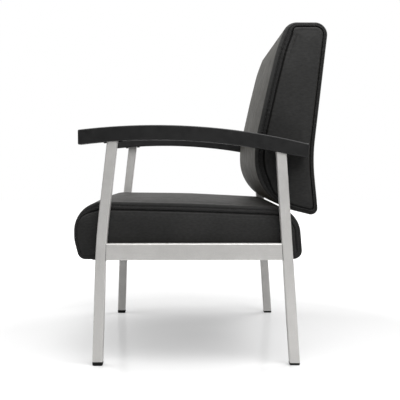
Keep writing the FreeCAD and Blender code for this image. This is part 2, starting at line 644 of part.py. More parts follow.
def arm(side):
    """One arm: moulded pad, bent steel core, two leg plates and four screws from below.

    Returns the arm's screws.
    """
    sign = SIDES[side]
    body = DOC.addObject("PartDesign::Body", f"{side}_arm_blank")
    sketch = sketch_in(body, "YZ_Plane", "Outline")
    arm_outline(sketch)
    feature = pad(body, sketch, "Sizes.arm_width", True)
    width = size("arm_width")
    ends = (-place("arm_front_reach"), place("arm_rear_reach"))

    def across_an_end(edge):
        at_end = any(abs(edge.BoundBox.Center.y - end) < TOOL_MARGIN / 10 for end in ends)
        return at_end and edge.BoundBox.XLength > width - TOOL_MARGIN

    def along_a_side(edge):
        return abs(abs(edge.BoundBox.Center.x) - width / 2) < TOOL_MARGIN / 10

    blunt = round_edges(body, feature, "Sizes.arm_end_radius", across_an_end)
    round_edges(body, blunt, "Sizes.arm_edge_radius", along_a_side)
    put(body, f"{sign} * Places.arm_x")
    core = DOC.addObject("PartDesign::Body", f"{side}_arm_core_blank")
    core_sketch = sketch_in(core, "YZ_Plane", "Outline")
    core_outline(core_sketch)
    pad(core, core_sketch, "Sizes.arm_core_width", True)
    put(core, f"{sign} * Places.arm_plate_x")
    tools = [core]
    all_holes = []
    screws = []
    for end in ("front", "rear"):
        name = f"{side}_{end}_arm_plate"
        blank = plate_frame(block(name + "_blank", "Places.arm_plate_width", "Places.arm_plate_length",
                                  "Sizes.arm_plate_thickness"), end, side)
        holes = []
        for number, along in enumerate(("-Places.arm_screw_offset", "Places.arm_screw_offset"), 1):
            hole = cylinder(f"{name}_hole_{number}", "Sizes.arm_screw_shank + Sizes.screw_clearance",
                            "Sizes.arm_screw_length + Sizes.screw_clearance")
            holes.append(plate_frame(hole, end, side, along))
            screws.append(plate_frame(bolt(f"{name}_screw_{number}", "arm_screw"), end, side, along))
        node(cut(name, blank, *holes), name)
        pocket = block(name + "_pocket", "Places.arm_plate_width", "Places.arm_plate_length",
                       f"Sizes.arm_plate_thickness + {TOOL_MARGIN}")
        tools.append(plate_frame(pocket, end, side, deep=TOOL_MARGIN))
        all_holes += holes
    node(cut(f"{side}_arm_core", core, *all_holes), f"{side}_arm_core")
    node(cut(f"{side}_arm", body, *tools, *all_holes), f"{side}_arm")
    return screws


def cross(first, second):
    return first[0] * second[1] - first[1] * second[0]


def rounded_wire(x, corners, radii, inset):
    """A closed outline of lines and arcs in the plane at x, a distance inside the given corners.

    corners are (y, z) points in anticlockwise order as seen from +X, and a radius is
    limited by the two walls that it joins.
    """
    count = len(corners)
    heads = []
    for number in range(count):
        start, end = corners[number], corners[(number + 1) % count]
        length = math.dist(start, end)
        heads.append(((end[0] - start[0]) / length, (end[1] - start[1]) / length))
    moved = []
    turns = []
    for number in range(count):
        before, after = heads[number - 1], heads[number]
        turn = math.atan2(cross(before, after), before[0] * after[0] + before[1] * after[1])
        bisector = (-before[1] - after[1], before[0] + after[0])
        scale = inset / (math.cos(turn / 2) * math.hypot(*bisector))
        moved.append((corners[number][0] + bisector[0] * scale, corners[number][1] + bisector[1] * scale))
        turns.append(turn)
    wanted = []
    for number in range(count):
        radius = radii[number] - math.copysign(inset, turns[number])
        wanted.append(max(radius, TOOL_MARGIN) * math.tan(abs(turns[number]) / 2))
    reach = []
    for number in range(count):
        before = math.dist(moved[number], moved[number - 1])
        after = math.dist(moved[number], moved[(number + 1) % count])
        room_before = before * wanted[number] / (wanted[number] + wanted[number - 1])
        room_after = after * wanted[number] / (wanted[number] + wanted[(number + 1) % count])
        reach.append(min(wanted[number], FILLET_ROOM * room_before, FILLET_ROOM * room_after))
    edges = []
    ends = []
    for number in range(count):
        corner, before, after = moved[number], heads[number - 1], heads[number]
        start = Vector(x, corner[0] - before[0] * reach[number], corner[1] - before[1] * reach[number])
        end = Vector(x, corner[0] + after[0] * reach[number], corner[1] + after[1] * reach[number])
        radius = reach[number] / math.tan(abs(turns[number]) / 2)
        depth = radius / math.cos(turns[number] / 2) - radius
        chord_middle = (start + end) / 2
        away = (chord_middle - Vector(x, *corner)).normalize()
        ends.append((start, Vector(x, *corner) + away * depth, end))
    for number in range(count):
        start, middle, end = ends[number]
        edges.append(Part.Arc(start, middle, end).toShape())
        edges.append(Part.LineSegment(end, ends[(number + 1) % count][0]).toShape())
    return Part.Wire(edges)


def seat_corners(crown):
    """Side view of the seat, whose top stands a crown higher in the middle of its depth."""
    front = place("seat_front")
    rear = place("seat_rear")
    bottom = place("seat_underside")
    height = place("seat_height")
    slope = math.tan(math.radians(size("seat_slope")))
    tuck_z = bottom + size("seat_nose_tuck_height")
    tuck = size("seat_nose_tuck_height") * math.tan(math.radians(size("seat_nose_tuck_angle")))
    middle = (front + rear) / 2
    corners = [
        (front + tuck, bottom),
        (rear, bottom),
        (place("seat_corner_y"), place("seat_corner_z")),
        (middle, height - slope * middle + size("seat_edge_bow") + crown),
        (front, height - slope * front),
        (front, tuck_z),
    ]
    radii = [size("seat_lip_radius"), size("seat_heel_radius"), size("seat_rear_radius"),
             size("seat_bow_radius"), size("seat_nose_radius"), size("seat_nose_tuck_radius")]
    return corners, radii


def back_corners(crown):
    """Side view of the back, whose front stands a crown further forward at its middle height."""
    front = place("back_front")
    bottom = place("back_underside")
    centre = place("back_lumbar_z")
    top = centre + size("back_rise")
    recline = math.radians(size("back_recline_angle"))
    lumbar = centre + size("back_lumbar_flat") + size("back_lumbar_radius") * math.tan(recline / 2)
    bow_z = centre + size("back_bow_rise")
    bow = size("back_edge_bow") + crown
    waist_y = front + size("back_waist_depth")
    waist_z = centre + size("back_waist_rise")
    rear_lean = math.tan(math.radians(size("back_rear_lean")))
    flare = math.tan(math.radians(size("back_rear_flare_angle")))
    under = math.tan(math.radians(size("back_underside_slope")))
    heel_y = (waist_y + flare * (waist_z - bottom - under * front)) / (1 - flare * under)
    drop = size("back_shoulder_drop")
    shoulder_y = front + math.tan(recline) * (top - drop - lumbar)
    shoulder_lean = math.tan(math.radians(size("back_shoulder_lean")))
    corners = [
        (front, bottom),
        (heel_y, bottom - under * (heel_y - front)),
        (waist_y, waist_z),
        (waist_y + rear_lean * (top - waist_z), top),
        (shoulder_y + shoulder_lean * drop, top),
        (shoulder_y, top - drop),
        (front + math.tan(recline) * (bow_z - lumbar) - bow, bow_z),
        (front, lumbar),
    ]
    radii = [size("back_lower_radius"), size("back_heel_radius"), size("back_waist_radius"),
             size("back_top_rear_radius"), size("back_top_front_radius"), size("back_shoulder_radius"),
             size("back_bow_radius"), size("back_lumbar_radius")]
    return corners, radii


def soft_form(outline, crown, half, skin):
    """A cushion lofted across the chair: crowned in the middle, rolled in to a seam at each side.

    skin is how far the form lies inside the cushion's outer face.
    """
    depth = size("side_roll_depth")
    width = size("side_roll_width")
    flat = half - width
    stations = []
    for step in ROLL_STEPS:
        stations.append((flat - skin + width * step, depth * (1 - math.sqrt(1 - step * step)), 0.0))
    for step in CROWN_STEPS:
        stations.append(((flat - skin) * step, 0.0, crown * (1 - step * step)))
    whole = [(-x, inset, rise) for x, inset, rise in stations] + stations[-2::-1]
    wires = []
    for x, inset, rise in whole:
        corners, radii = outline(rise)
        wires.append(rounded_wire(x, corners, radii, inset + skin))
    return Part.makeLoft(wires, True, True)


def shape_object(name, shape):
    feature = DOC.addObject("Part::Feature", name)
    feature.Shape = shape
    feature.Placement = Placement()
    return feature


def cushion(name, outline, crown, half):
    """The outer form of a cushion and the form of its foam, one cover's thickness inside."""
    outer = shape_object(name + "_form", soft_form(outline, crown, half, 0.0))
    inner = shape_object(name + "_fill", soft_form(outline, crown, half, size("cover_thickness")))
    return outer, inner


def seat_hardware():
    """Six bolts up through the cross rails, with washers, into flanged nuts in the deck.

    Returns the holes that the nuts sit in.
    """
    bolts = []
    washers = []
    nuts = []
    seats = []
    for reach in ("Places.front_cross_y", "Places.rear_cross_y"):
        for step in (-1, 0, 1):
            x = f"{step} * Places.seat_bolt_x"
            name = f"seat_bolt_{len(bolts) + 1}"
            bolts.append(put(bolt(name, "seat_bolt"), x, reach, "Places.seat_bolt_seat"))
            washers.append(put(washer(name + "_washer", "seat_bolt"), x, reach, "Places.seat_bolt_seat"))
            flange = put(cylinder(f"{name}_flange", "Sizes.tnut_flange", "Sizes.tnut_flange_thickness"),
                         z="-Sizes.tnut_flange_thickness")
            barrel = put(cylinder(f"{name}_barrel", "Sizes.tnut_barrel", "Sizes.tnut_length"),
                         z="-Sizes.tnut_length")
            blank = put(fuse(f"{name}_nut_blank", flange, barrel), x, reach, "Places.deck_top")
            bore = put(cylinder(f"{name}_nut_bore", "Sizes.seat_bolt_shank + Sizes.screw_clearance",
                                "Sizes.seat_panel_thickness"), x, reach, "Places.seat_deck_height")
            nuts.append(cut(f"{name}_nut", blank, bore))
            seats += [blank, bore]
    node(group("seat_bolt_group", bolts), "seat_bolts")
    node(group("seat_washer_group", washers), "seat_washers")
    node(group("seat_tnut_group", nuts), "seat_tnuts")
    return seats


def seat():
    """Plywood deck with two aprons, foam over them, a sewn cover and a dust cover below."""
    length = "Places.deck_rear - Places.deck_front"
    panel = put(box("seat_panel_blank", "2 * Places.deck_half", length, "Sizes.seat_panel_thickness"),
                "-Places.deck_half", "Places.deck_front", "Places.seat_deck_height")
    node(cut("seat_panel", panel, *seat_hardware()), "seat_panel")
    apron_height = "Places.seat_deck_height - Places.apron_underside"
    aprons = []
    for name, y in (("seat_front_apron", "Places.deck_front"),
                    ("seat_rear_apron", "Places.deck_rear - Sizes.apron_thickness")):
        apron = box(name, "2 * Places.deck_half", "Sizes.apron_thickness", apron_height)
        aprons.append(node(put(apron, "-Places.deck_half", y, "Places.apron_underside"), name))
    sheet = box("seat_dust_cover", "2 * Places.deck_half", length, "Sizes.dust_cover_thickness")
    put(sheet, "-Places.deck_half", "Places.deck_front", "Places.seat_underside - Sizes.dust_cover_thickness")
    node(sheet, "seat_dust_cover")
    cavity = box("seat_cavity", f"2 * Places.seat_half + {2 * TOOL_MARGIN}",
                 f"{length} - 2 * Sizes.apron_thickness",
                 f"Places.seat_deck_height - Places.seat_underside + {TOOL_MARGIN}")
    put(cavity, f"-Places.seat_half - {TOOL_MARGIN}", "Places.deck_front + Sizes.apron_thickness",
        f"Places.seat_underside - {TOOL_MARGIN}")
    outer, inner = cushion("seat", seat_corners, size("seat_crown"), place("seat_half"))
    node(cut("seat_cover", cut("seat_skin", outer, inner), cavity), "seat_cover")
    node(cut("seat_foam", inner, cavity, panel, *aprons), "seat_foam")


def on_back_frame(thing, x, across, up):
    """Puts a box on the tilted frame of the back, from that frame's lower middle."""
    lean = "Sizes.back_frame_lean"
    return put(thing, x, f"Places.back_frame_y + ({across}) * cos({lean}) + ({up}) * sin({lean})",
               f"Places.back_frame_underside - ({across}) * sin({lean}) + ({up}) * cos({lean})",
               angle=f"-{lean}")


def back_frame():
    """Two stiles, two rails and a panel of wood, inside the back.

    Returns the solid stiles by side, and the other pieces.
    """
    inside = "(Places.stile_face - Sizes.stile_thickness)"
    stiles = {}
    for side, sign in SIDES.items():
        stile = box(f"back_{side}_stile_blank", "Sizes.stile_thickness", "Sizes.stile_width",
                    "Places.back_frame_height")
        x = inside if sign > 0 else "-Places.stile_face"
        stiles[side] = on_back_frame(stile, x, "-Sizes.stile_width / 2", 0)
    pieces = []
    for name, up in (("back_bottom_rail", "0"),
                     ("back_top_rail", "Places.back_frame_height - Sizes.back_rail_width")):
        rail = box(name, f"2 * {inside}", "Sizes.back_rail_thickness", "Sizes.back_rail_width")
        pieces.append(node(on_back_frame(rail, f"-{inside}", "Sizes.back_rail_setback", up), name))
    panel = box("back_panel", f"2 * {inside}", "Sizes.back_panel_thickness", "Places.back_frame_height")
    on_back_frame(panel, f"-{inside}", "Sizes.back_rail_setback - Sizes.back_panel_thickness", 0)
    pieces.append(node(panel, "back_panel"))
    return stiles, pieces


def at_back_bolt(thing, side, level, x):
    """Turns a piece to run outwards across the chair, on the axis of one bolt of the back."""
    sign = SIDES[side]
    return put(thing, f"{sign} * ({x})", f"Sizes.rear_foot_reach - {level} * tan(Sizes.rear_leg_lean)",
               level, Y_AXIS, str(90 * sign))


def back():
    """Foam and a sewn cover round a wooden frame, bolted to bosses on the rear legs."""
    stiles, pieces = back_frame()
    inside = "Places.stile_face - Sizes.stile_thickness"
    bolts = []
    washers = []
    bosses = []
    boss_holes = []
    head_rooms = []
    for side in SIDES:
        stile_holes = []
        for number, level in enumerate(("Places.back_bolt_low", "Places.back_bolt_high"), 1):
            name = f"back_{side}_bolt_{number}"
            spot = (side, level)
            bolts.append(at_back_bolt(bolt(name, "back_bolt"), *spot, "Places.back_bolt_seat"))
            ring = washer(name + "_washer", "back_bolt")
            washers.append(at_back_bolt(ring, *spot, "Places.back_bolt_seat"))
            hole = cylinder(name + "_hole", "Sizes.back_bolt_shank + Sizes.screw_clearance",
                            f"Sizes.stile_thickness + Places.boss_length + {TOOL_MARGIN}")
            stile_holes.append(at_back_bolt(hole, *spot, f"{inside} - {TOOL_MARGIN / 2}"))
            boss = cylinder(name + "_boss_blank", "Sizes.back_boss", "Places.boss_length")
            bosses.append(cut(name + "_boss", at_back_bolt(boss, *spot, "Places.stile_face"), hole))
            opening = cylinder(name + "_opening", "Sizes.back_boss + 2 * Sizes.boss_hole_gap",
                               "Places.boss_length")
            boss_holes.append(at_back_bolt(opening, *spot, "Places.stile_face"))
            room = cylinder(name + "_head_room", "Sizes.washer_diameter",
                            "Sizes.washer_thickness + Sizes.back_bolt_head_height")
            head_rooms.append(at_back_bolt(room, *spot, "Places.back_bolt_seat - Sizes.back_bolt_head_height"))
        node(cut(f"back_{side}_stile", stiles[side], *stile_holes), f"back_{side}_stile")
    node(group("back_bolt_group", bolts), "back_bolts")
    node(group("back_washer_group", washers), "back_washers")
    node(group("back_boss_group", bosses), "back_bosses")
    outer, inner = cushion("back", back_corners, size("back_crown"), place("back_half"))
    node(cut("back_cover", cut("back_skin", outer, inner), *boss_holes), "back_cover")
    node(cut("back_foam", inner, *stiles.values(), *pieces, *head_rooms, *boss_holes), "back_foam")


def main():
    screws = []
    for side in SIDES:
        bars = [leg(end, side) for end in ("front", "rear")]
        side_rail(side, bars)
        for end in ("front", "rear"):
            glide(end, side)
        screws += arm(side)
    node(group("arm_screw_group", screws), "arm_screws")
    seat_supports()
    seat()
    back()
    DOC.recompute()
    check()
    os.makedirs("parts", exist_ok=True)
    for piece in NODES:
        piece.Shape.exportStep(f"parts/{piece.Label}.step")


def check():
    """Stops the build where an object failed or a sub-part has no sound shape."""
    for thing in DOC.Objects:
        if "Invalid" in thing.State or "Error" in thing.State:
            raise RuntimeError(f"{thing.Label} failed: {thing.State}")
    for piece in NODES:
        if piece.Shape.isNull() or not piece.Shape.isValid():
            raise RuntimeError(f"{piece.Label} has no valid shape")


main()
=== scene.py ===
"""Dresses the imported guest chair: sewn cushions, a coated steel frame, moulded arms and a plain studio."""

import logging
import math
from collections.abc import Sequence
from dataclasses import dataclass
from enum import Enum
from typing import Any

import bpy
import numpy as np
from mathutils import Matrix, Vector, noise
from mathutils.kdtree import KDTree


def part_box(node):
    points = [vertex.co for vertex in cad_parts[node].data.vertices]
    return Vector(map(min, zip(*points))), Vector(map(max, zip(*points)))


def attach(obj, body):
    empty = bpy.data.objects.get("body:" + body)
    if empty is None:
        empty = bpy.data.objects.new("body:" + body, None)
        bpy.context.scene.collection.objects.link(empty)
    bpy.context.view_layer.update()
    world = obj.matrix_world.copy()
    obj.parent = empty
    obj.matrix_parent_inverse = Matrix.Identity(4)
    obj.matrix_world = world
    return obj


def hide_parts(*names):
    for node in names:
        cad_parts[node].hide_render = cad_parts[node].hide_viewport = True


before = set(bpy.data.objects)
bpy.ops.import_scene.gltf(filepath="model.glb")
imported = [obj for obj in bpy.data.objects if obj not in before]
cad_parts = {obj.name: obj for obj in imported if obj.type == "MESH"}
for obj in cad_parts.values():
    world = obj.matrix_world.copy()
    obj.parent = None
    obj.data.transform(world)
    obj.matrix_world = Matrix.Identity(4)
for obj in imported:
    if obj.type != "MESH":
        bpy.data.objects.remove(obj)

LOG = logging.getLogger("guest_chair")
MM = 0.001
BODY = "root"
# Point attribute holding the painted shade along the cushions' seams, which the vinyl reads to darken its
# colour.
PAINTED_SEAM_SHADE = "sewn"
WHITE = (1.0, 1.0, 1.0, 1.0)

Triple = tuple[float, float, float]
Four = tuple[float, float, float, float]
Socket = bpy.types.NodeSocket


class Slot(Enum):
    """The record's material slots."""

    COAT = "silver_powder_coat"
    BLACK_STEEL = "black_steel"
    VINYL = "black_vinyl"
    URETHANE = "arm_urethane"
    GLIDE = "glide_plastic"
    ZINC = "zinc_steel"
    PLYWOOD = "plywood"
    FOAM = "foam"
    DUST = "dust_cloth"


class Side(Enum):
    """The two sides of the chair, by the sign of X."""

    LEFT = 1
    RIGHT = -1


class NodeSheet:
    """A node tree, with short calls that add nodes and join them."""

    def __init__(self, tree: bpy.types.NodeTree) -> None:
        """Takes over a tree and empties it."""
        self.tree = tree
        tree.nodes.clear()

    def add(self, kind: str, inputs: dict[str | int, Any] | None = None, **settings: Any) -> bpy.types.Node:
        """Adds a node, sets its properties and fills its inputs.

        Args:
            kind: The node's type name.
            inputs: A value or an output socket for each input, by name or number.
            **settings: The node's own properties.

        Returns:
            The new node.
        """
        node = self.tree.nodes.new(kind)
        for key, value in settings.items():
            setattr(node, key, value)
        for key, value in (inputs or {}).items():
            if isinstance(value, Socket):
                self.tree.links.new(value, node.inputs[key])
            else:
                node.inputs[key].default_value = value
        return node

    def sums(self, kind: str, first: Any, second: Any) -> Socket:
        """Does one sum on two values.

        Args:
            kind: The operation's name.
            first: A number or a value socket.
            second: A number or a value socket.

        Returns:
            The sum's result.
        """
        return self.add("ShaderNodeMath", {0: first, 1: second}, operation=kind).outputs[0]

    def layer(self, share: Any, first: bpy.types.Node, second: bpy.types.Node) -> bpy.types.Node:
        """Mixes two shaders.

        Args:
            share: How much of the second there is, a number or a value socket.
            first: The first shader.
            second: The second shader.

        Returns:
            The mixed shader.
        """
        inputs = {0: share, 1: first.outputs[0], 2: second.outputs[0]}
        return self.add("ShaderNodeMixShader", inputs)


class MaterialSheet(NodeSheet):
    """A material's node tree, with the patterns and mixes that the finishes share."""

    PATTERN_MIDDLE = (0.3, 0.7)
    FIRST_COLOUR = 6
    SECOND_COLOUR = 7
    MIXED_COLOUR = 2

    def __init__(self, name: str) -> None:
        """Starts an empty material.

        Args:
            name: The material's name.
        """
        self.material = bpy.data.materials.new(name)
        self.material.use_nodes = True
        super().__init__(self.material.node_tree)

    def place(self) -> Socket:
        """Gives the piece's own coordinates, in metres."""
        return self.add("ShaderNodeTexCoord").outputs["Object"]

    def drawn_out(self, place: Socket, scale: Triple) -> Socket:
        """Scales coordinates, so that a pattern is drawn out along the axes with a small scale."""
        return self.add("ShaderNodeMapping", {"Vector": place, "Scale": scale}).outputs["Vector"]

    def noise(self, place: Socket, scale: float, detail: float = 2.0) -> Socket:
        """Gives a cloud pattern.

        Args:
            place: The coordinates to read.
            scale: Cells to the metre.
            detail: How many finer layers it has.

        Returns:
            The pattern's value, about 0.5 on average.
        """
        inputs = {"Vector": place, "Scale": scale, "Detail": detail}
        return self.add("ShaderNodeTexNoise", inputs).outputs["Fac"]

    def ramp(self, value: Socket, ends: tuple[float, float], results: tuple[float, float]) -> Socket:
        """Maps a range of values onto another, and holds it beyond its ends.

        Args:
            value: The value.
            ends: The range's ends.
            results: What the value becomes at each.

        Returns:
            The mapped value.
        """
        inputs = {"Value": value, "From Min": ends[0], "From Max": ends[1]}
        inputs |= {"To Min": results[0], "To Max": results[1]}
        return self.add("ShaderNodeMapRange", inputs).outputs["Result"]

    def spread(self, value: Socket, low: float, high: float) -> Socket:
        """Maps the middle of a cloud pattern onto a range.

        Args:
            value: The pattern.
            low: What it becomes where the pattern is low.
            high: What it becomes where the pattern is high.

        Returns:
            The mapped value.
        """
        return self.ramp(value, self.PATTERN_MIDDLE, (low, high))

    def blend(self, share: Socket, first: Any, second: Any) -> Socket:
        """Mixes two colours.

        Args:
            share: How much of the second there is.
            first: A colour or a colour socket.
            second: A colour or a colour socket.

        Returns:
            The mixed colour.
        """
        inputs = {0: share}
        for key, colour in ((self.FIRST_COLOUR, first), (self.SECOND_COLOUR, second)):
            inputs[key] = colour if isinstance(colour, Socket) else (*colour, 1.0)
        return self.add("ShaderNodeMix", inputs, data_type="RGBA").outputs[self.MIXED_COLOUR]

    def finish(self, surface: Socket) -> bpy.types.Material:
        """Joins the surface to the output and gives the material."""
        self.add("ShaderNodeOutputMaterial", {"Surface": surface})
        return self.material


@dataclass(frozen=True)
class Finish:
    """A finish with two close colours, a range of roughness and a fine grain.

    The mottle and the grain are in cells to the metre, and the relief is in millimetres.
    """

    name: str
    dark: Triple
    light: Triple
    smooth: float
    rough: float
    mottle: float
    grain: float
    relief: float
    metallic: float = 0.0
    specular: float = 0.5
    sheen: float = 0.0
    sheen_rough: float = 0.4
    sheen_tint: Triple = (1.0, 1.0, 1.0)
    mottle_detail: float = 3.0
    rough_fineness: float = 4.0

    def colour(self, sheet: MaterialSheet, place: Socket) -> Socket:
        """Mottles the colour.

        Args:
            sheet: The node tree.
            place: The piece's coordinates.

        Returns:
            The colour socket.
        """
        share = sheet.spread(sheet.noise(place, self.mottle, self.mottle_detail), 0.0, 1.0)
        return sheet.blend(share, self.dark, self.light)

    def height(self, sheet: MaterialSheet, place: Socket) -> Socket:
        """Gives the grain's height from 0 to 1."""
        return sheet.noise(place, self.grain)

    def roughness(self, sheet: MaterialSheet, place: Socket) -> Socket:
        """Varies the roughness over the surface."""
        return sheet.spread(sheet.noise(place, self.mottle * self.rough_fineness), self.smooth, self.rough)

    def build(self) -> bpy.types.Material:
        """Makes the material.

        Returns:
            The material, ready to assign.
        """
        sheet = MaterialSheet(self.name)
        place = sheet.place()
        bump = sheet.add(
            "ShaderNodeBump",
            {"Height": self.height(sheet, place), "Strength": 1.0, "Distance": self.relief * MM},
        )
        shader = sheet.add(
            "ShaderNodeBsdfPrincipled",
            {
                "Base Color": self.colour(sheet, place),
                "Roughness": self.roughness(sheet, place),
                "Metallic": self.metallic,
                "Specular IOR Level": self.specular,
                "Sheen Weight": self.sheen,
                "Sheen Roughness": self.sheen_rough,
                "Sheen Tint": (*self.sheen_tint, 1.0),
                "Normal": bump.outputs["Normal"],
            },
        )
        return sheet.finish(shader.outputs["BSDF"])


@dataclass(frozen=True)
class Vinyl(Finish):
    """Upholstery vinyl: pebbled grain, and painted shade along the seam and topstitch grooves and the band
    between them.
    """

    # A near-black used twice: as the fine mottle's dark tone, and as the painted shade of the seam grooves
    # and band.
    mottle_and_seam_shade: Triple = (0.005, 0.005, 0.005)
    seam_shade_share: float = 0.9
    fine_mottle: float = 240.0
    fine_detail: float = 4.0
    fine_share: float = 0.3
    stretch: Triple = (0.25, 0.4, 1.0)
    pebble_scatter: float = 0.9
    pore_fineness: float = 2.6
    pore_depth: float = 0.35

    def colour(self, sheet: MaterialSheet, place: Socket) -> Socket:
        """Mottles the colour and darkens it with painted shade along the seams.

        Args:
            sheet: The node tree.
            place: The piece's coordinates.

        Returns:
            The colour socket.
        """
        drawn = sheet.drawn_out(place, self.stretch)
        fine = sheet.spread(sheet.noise(drawn, self.fine_mottle, self.fine_detail), 0.0, self.fine_share)
        skin = sheet.blend(fine, super().colour(sheet, place), self.mottle_and_seam_shade)
        # Painted shade: the seam attribute darkens the colour towards near-black in the seam and topstitch
        # grooves and the band.
        sewn = sheet.add("ShaderNodeAttribute", attribute_name=PAINTED_SEAM_SHADE).outputs["Fac"]
        return sheet.blend(sheet.sums("MULTIPLY", sewn, self.seam_shade_share), skin, self.mottle_and_seam_shade)

    def height(self, sheet: MaterialSheet, place: Socket) -> Socket:
        """Gives pebbles with fine creases between them.

        Args:
            sheet: The node tree.
            place: The piece's coordinates.

        Returns:
            The height socket.
        """
        pebbles = sheet.add(
            "ShaderNodeTexVoronoi",
            {"Vector": place, "Scale": self.grain, "Randomness": self.pebble_scatter},
            feature="SMOOTH_F1",
        ).outputs["Distance"]
        pores = sheet.noise(place, self.grain * self.pore_fineness)
        return sheet.sums("SUBTRACT", sheet.sums("MULTIPLY", pores, self.pore_depth), pebbles)


@dataclass(frozen=True)
class PowderCoat(Finish):
    """Metallic powder coat: bright flakes in a satin film, with faint draw lines along the tube."""

    flake: Triple = (0.78, 0.77, 0.75)
    flake_scale: float = 1500.0
    flake_rarity: float = 0.9
    flake_share: float = 0.4
    line_scale: float = 430.0
    line_share: float = 0.6
    stretch: Triple = (1.0, 1.0, 0.03)

    def colour(self, sheet: MaterialSheet, place: Socket) -> Socket:
        """Draws the film out along the tube and scatters flakes in it.

        Args:
            sheet: The node tree.
            place: The piece's coordinates.

        Returns:
            The colour socket.
        """
        drawn = sheet.drawn_out(place, self.stretch)
        lines = sheet.noise(drawn, self.line_scale, self.mottle_detail)
        film = super().colour(sheet, place)
        film = sheet.blend(sheet.spread(lines, 0.0, self.line_share), film, self.dark)
        cells = sheet.add("ShaderNodeTexVoronoi", {"Vector": place, "Scale": self.flake_scale})
        parts = sheet.add("ShaderNodeSeparateColor", {"Color": cells.outputs["Color"]})
        chance = sheet.sums("GREATER_THAN", parts.outputs[0], self.flake_rarity)
        return sheet.blend(sheet.sums("MULTIPLY", chance, self.flake_share), film, self.flake)


@dataclass(frozen=True)
class Timber(Finish):
    """Raw plywood: thin plies seen as bands, with a soft figure along the sheet."""

    plies: float = 330.0
    wander: float = 1.5

    def colour(self, sheet: MaterialSheet, place: Socket) -> Socket:
        """Bands the colour by ply.

        Args:
            sheet: The node tree.
            place: The piece's coordinates.

        Returns:
            The colour socket.
        """
        inputs = {"Vector": place, "Scale": self.plies, "Distortion": self.wander, "Detail": 2.0}
        bands = sheet.add("ShaderNodeTexWave", inputs, bands_direction="Z").outputs["Fac"]
        return sheet.blend(bands, self.dark, self.light)


def grey(level: float) -> Triple:
    """Gives a grey."""
    return (level, level, level)


class FinishRack:
    """Every finish on the chair, each made once."""

    def __init__(self) -> None:
        """Makes the finishes of the record's slots, the rails' coat, the welds' coat with painted shade, and
        the thread.
        """
        plans: dict[Slot, Finish] = {
            Slot.COAT: self.coat("leg_coat", (1.0, 1.0, 0.03)),
            Slot.BLACK_STEEL: Finish(
                "black_coat", grey(0.012), grey(0.018),
                smooth=0.4, rough=0.5, mottle=30.0, grain=900.0, relief=0.05, specular=0.3,
            ),
            Slot.VINYL: Vinyl(
                "vinyl", (0.0275, 0.0274, 0.027), (0.0366, 0.0364, 0.0359),
                smooth=0.45, rough=0.55, mottle=7.0, grain=850.0, relief=0.12, specular=0.05,
                sheen=0.03, sheen_tint=(1.0, 0.88, 0.62),
            ),
            Slot.URETHANE: Finish(
                "urethane", (0.0065, 0.0065, 0.0066), (0.0095, 0.0095, 0.0096),
                smooth=0.36, rough=0.46, mottle=14.0, grain=1300.0, relief=0.1, specular=0.3,
            ),
            Slot.GLIDE: Finish(
                "glide_plastic", grey(0.006), grey(0.009),
                smooth=0.5, rough=0.6, mottle=60.0, grain=1800.0, relief=0.05, specular=0.12,
            ),
            Slot.ZINC: Finish(
                "zinc_plate", (0.5, 0.5, 0.49), (0.62, 0.62, 0.6),
                smooth=0.25, rough=0.4, mottle=180.0, grain=2500.0, relief=0.02, metallic=1.0,
            ),
            Slot.PLYWOOD: Timber(
                "plywood", (0.44, 0.31, 0.19), (0.62, 0.48, 0.32),
                smooth=0.6, rough=0.75, mottle=12.0, grain=600.0, relief=0.2,
            ),
            Slot.FOAM: Finish(
                "foam", (0.76, 0.72, 0.6), (0.84, 0.81, 0.7),
                smooth=0.85, rough=0.95, mottle=30.0, grain=900.0, relief=0.4,
            ),
            Slot.DUST: Finish(
                "dust_cloth", grey(0.016), grey(0.028),
                smooth=0.8, rough=0.95, mottle=260.0, grain=2200.0, relief=0.15,
            ),
        }
        self.by_slot = {slot: plan.build() for slot, plan in plans.items()}
        self.rail_coat = self.coat("rail_coat", (1.0, 0.03, 1.0)).build()
        # The welds get a much darker grey than the frame's coat: painted shade for the groove where each
        # rail meets a leg.
        self.weld = Finish(
            "shaded_weld_coat", (0.17, 0.167, 0.163), (0.23, 0.226, 0.22),
            smooth=0.4, rough=0.5, mottle=300.0, grain=900.0, relief=0.05, metallic=0.45,
        ).build()
        self.thread = Finish(
            "sewing_thread", grey(0.012), grey(0.03),
            smooth=0.5, rough=0.65, mottle=400.0, grain=4000.0, relief=0.1,
        ).build()

    @staticmethod
    def coat(name: str, stretch: Triple) -> PowderCoat:
        """Gives the frame's coat with its lines drawn one way.

        Args:
            name: The material's name.
            stretch: How much finer the lines are across each axis.

        Returns:
            The finish.
        """
        return PowderCoat(
            name, (0.575, 0.565, 0.549), (0.66, 0.648, 0.63),
            smooth=0.34, rough=0.42, mottle=16.0, grain=700.0, relief=0.05, metallic=0.45, stretch=stretch,
        )


def dress(piece: bpy.types.Object, material: bpy.types.Material) -> None:
    """Gives a piece one material."""
    piece.data.materials.clear()
    piece.data.materials.append(material)


def mesh_piece(
    name: str,
    points: np.ndarray,
    faces: Sequence[Sequence[int]],
    edges: Sequence[Sequence[int]] = (),
) -> bpy.types.Object:
    """Makes a smooth object from points in millimetres.

    Args:
        name: The piece's name.
        points: One row of X, Y, Z for each point.
        faces: The points of each face, outward side anticlockwise.
        edges: The points of each loose edge.

    Returns:
        The new object, at the origin.
    """
    mesh = bpy.data.meshes.new(name)
    mesh.from_pydata((points * MM).tolist(), edges, faces)
    if len(faces):
        mesh.shade_smooth()
    piece = bpy.data.objects.new(name, mesh)
    bpy.context.scene.collection.objects.link(piece)
    return piece


@dataclass(frozen=True)
class Corner:
    """One corner of a cushion's side outline, in millimetres, and the radius that rounds it."""

    y: float
    z: float
    radius: float


@dataclass(frozen=True)
class Marks:
    """Places along a rounded outline that stay alike when the outline is drawn in or crowned."""

    segments: np.ndarray
    shares: np.ndarray
    across: int
    up: int


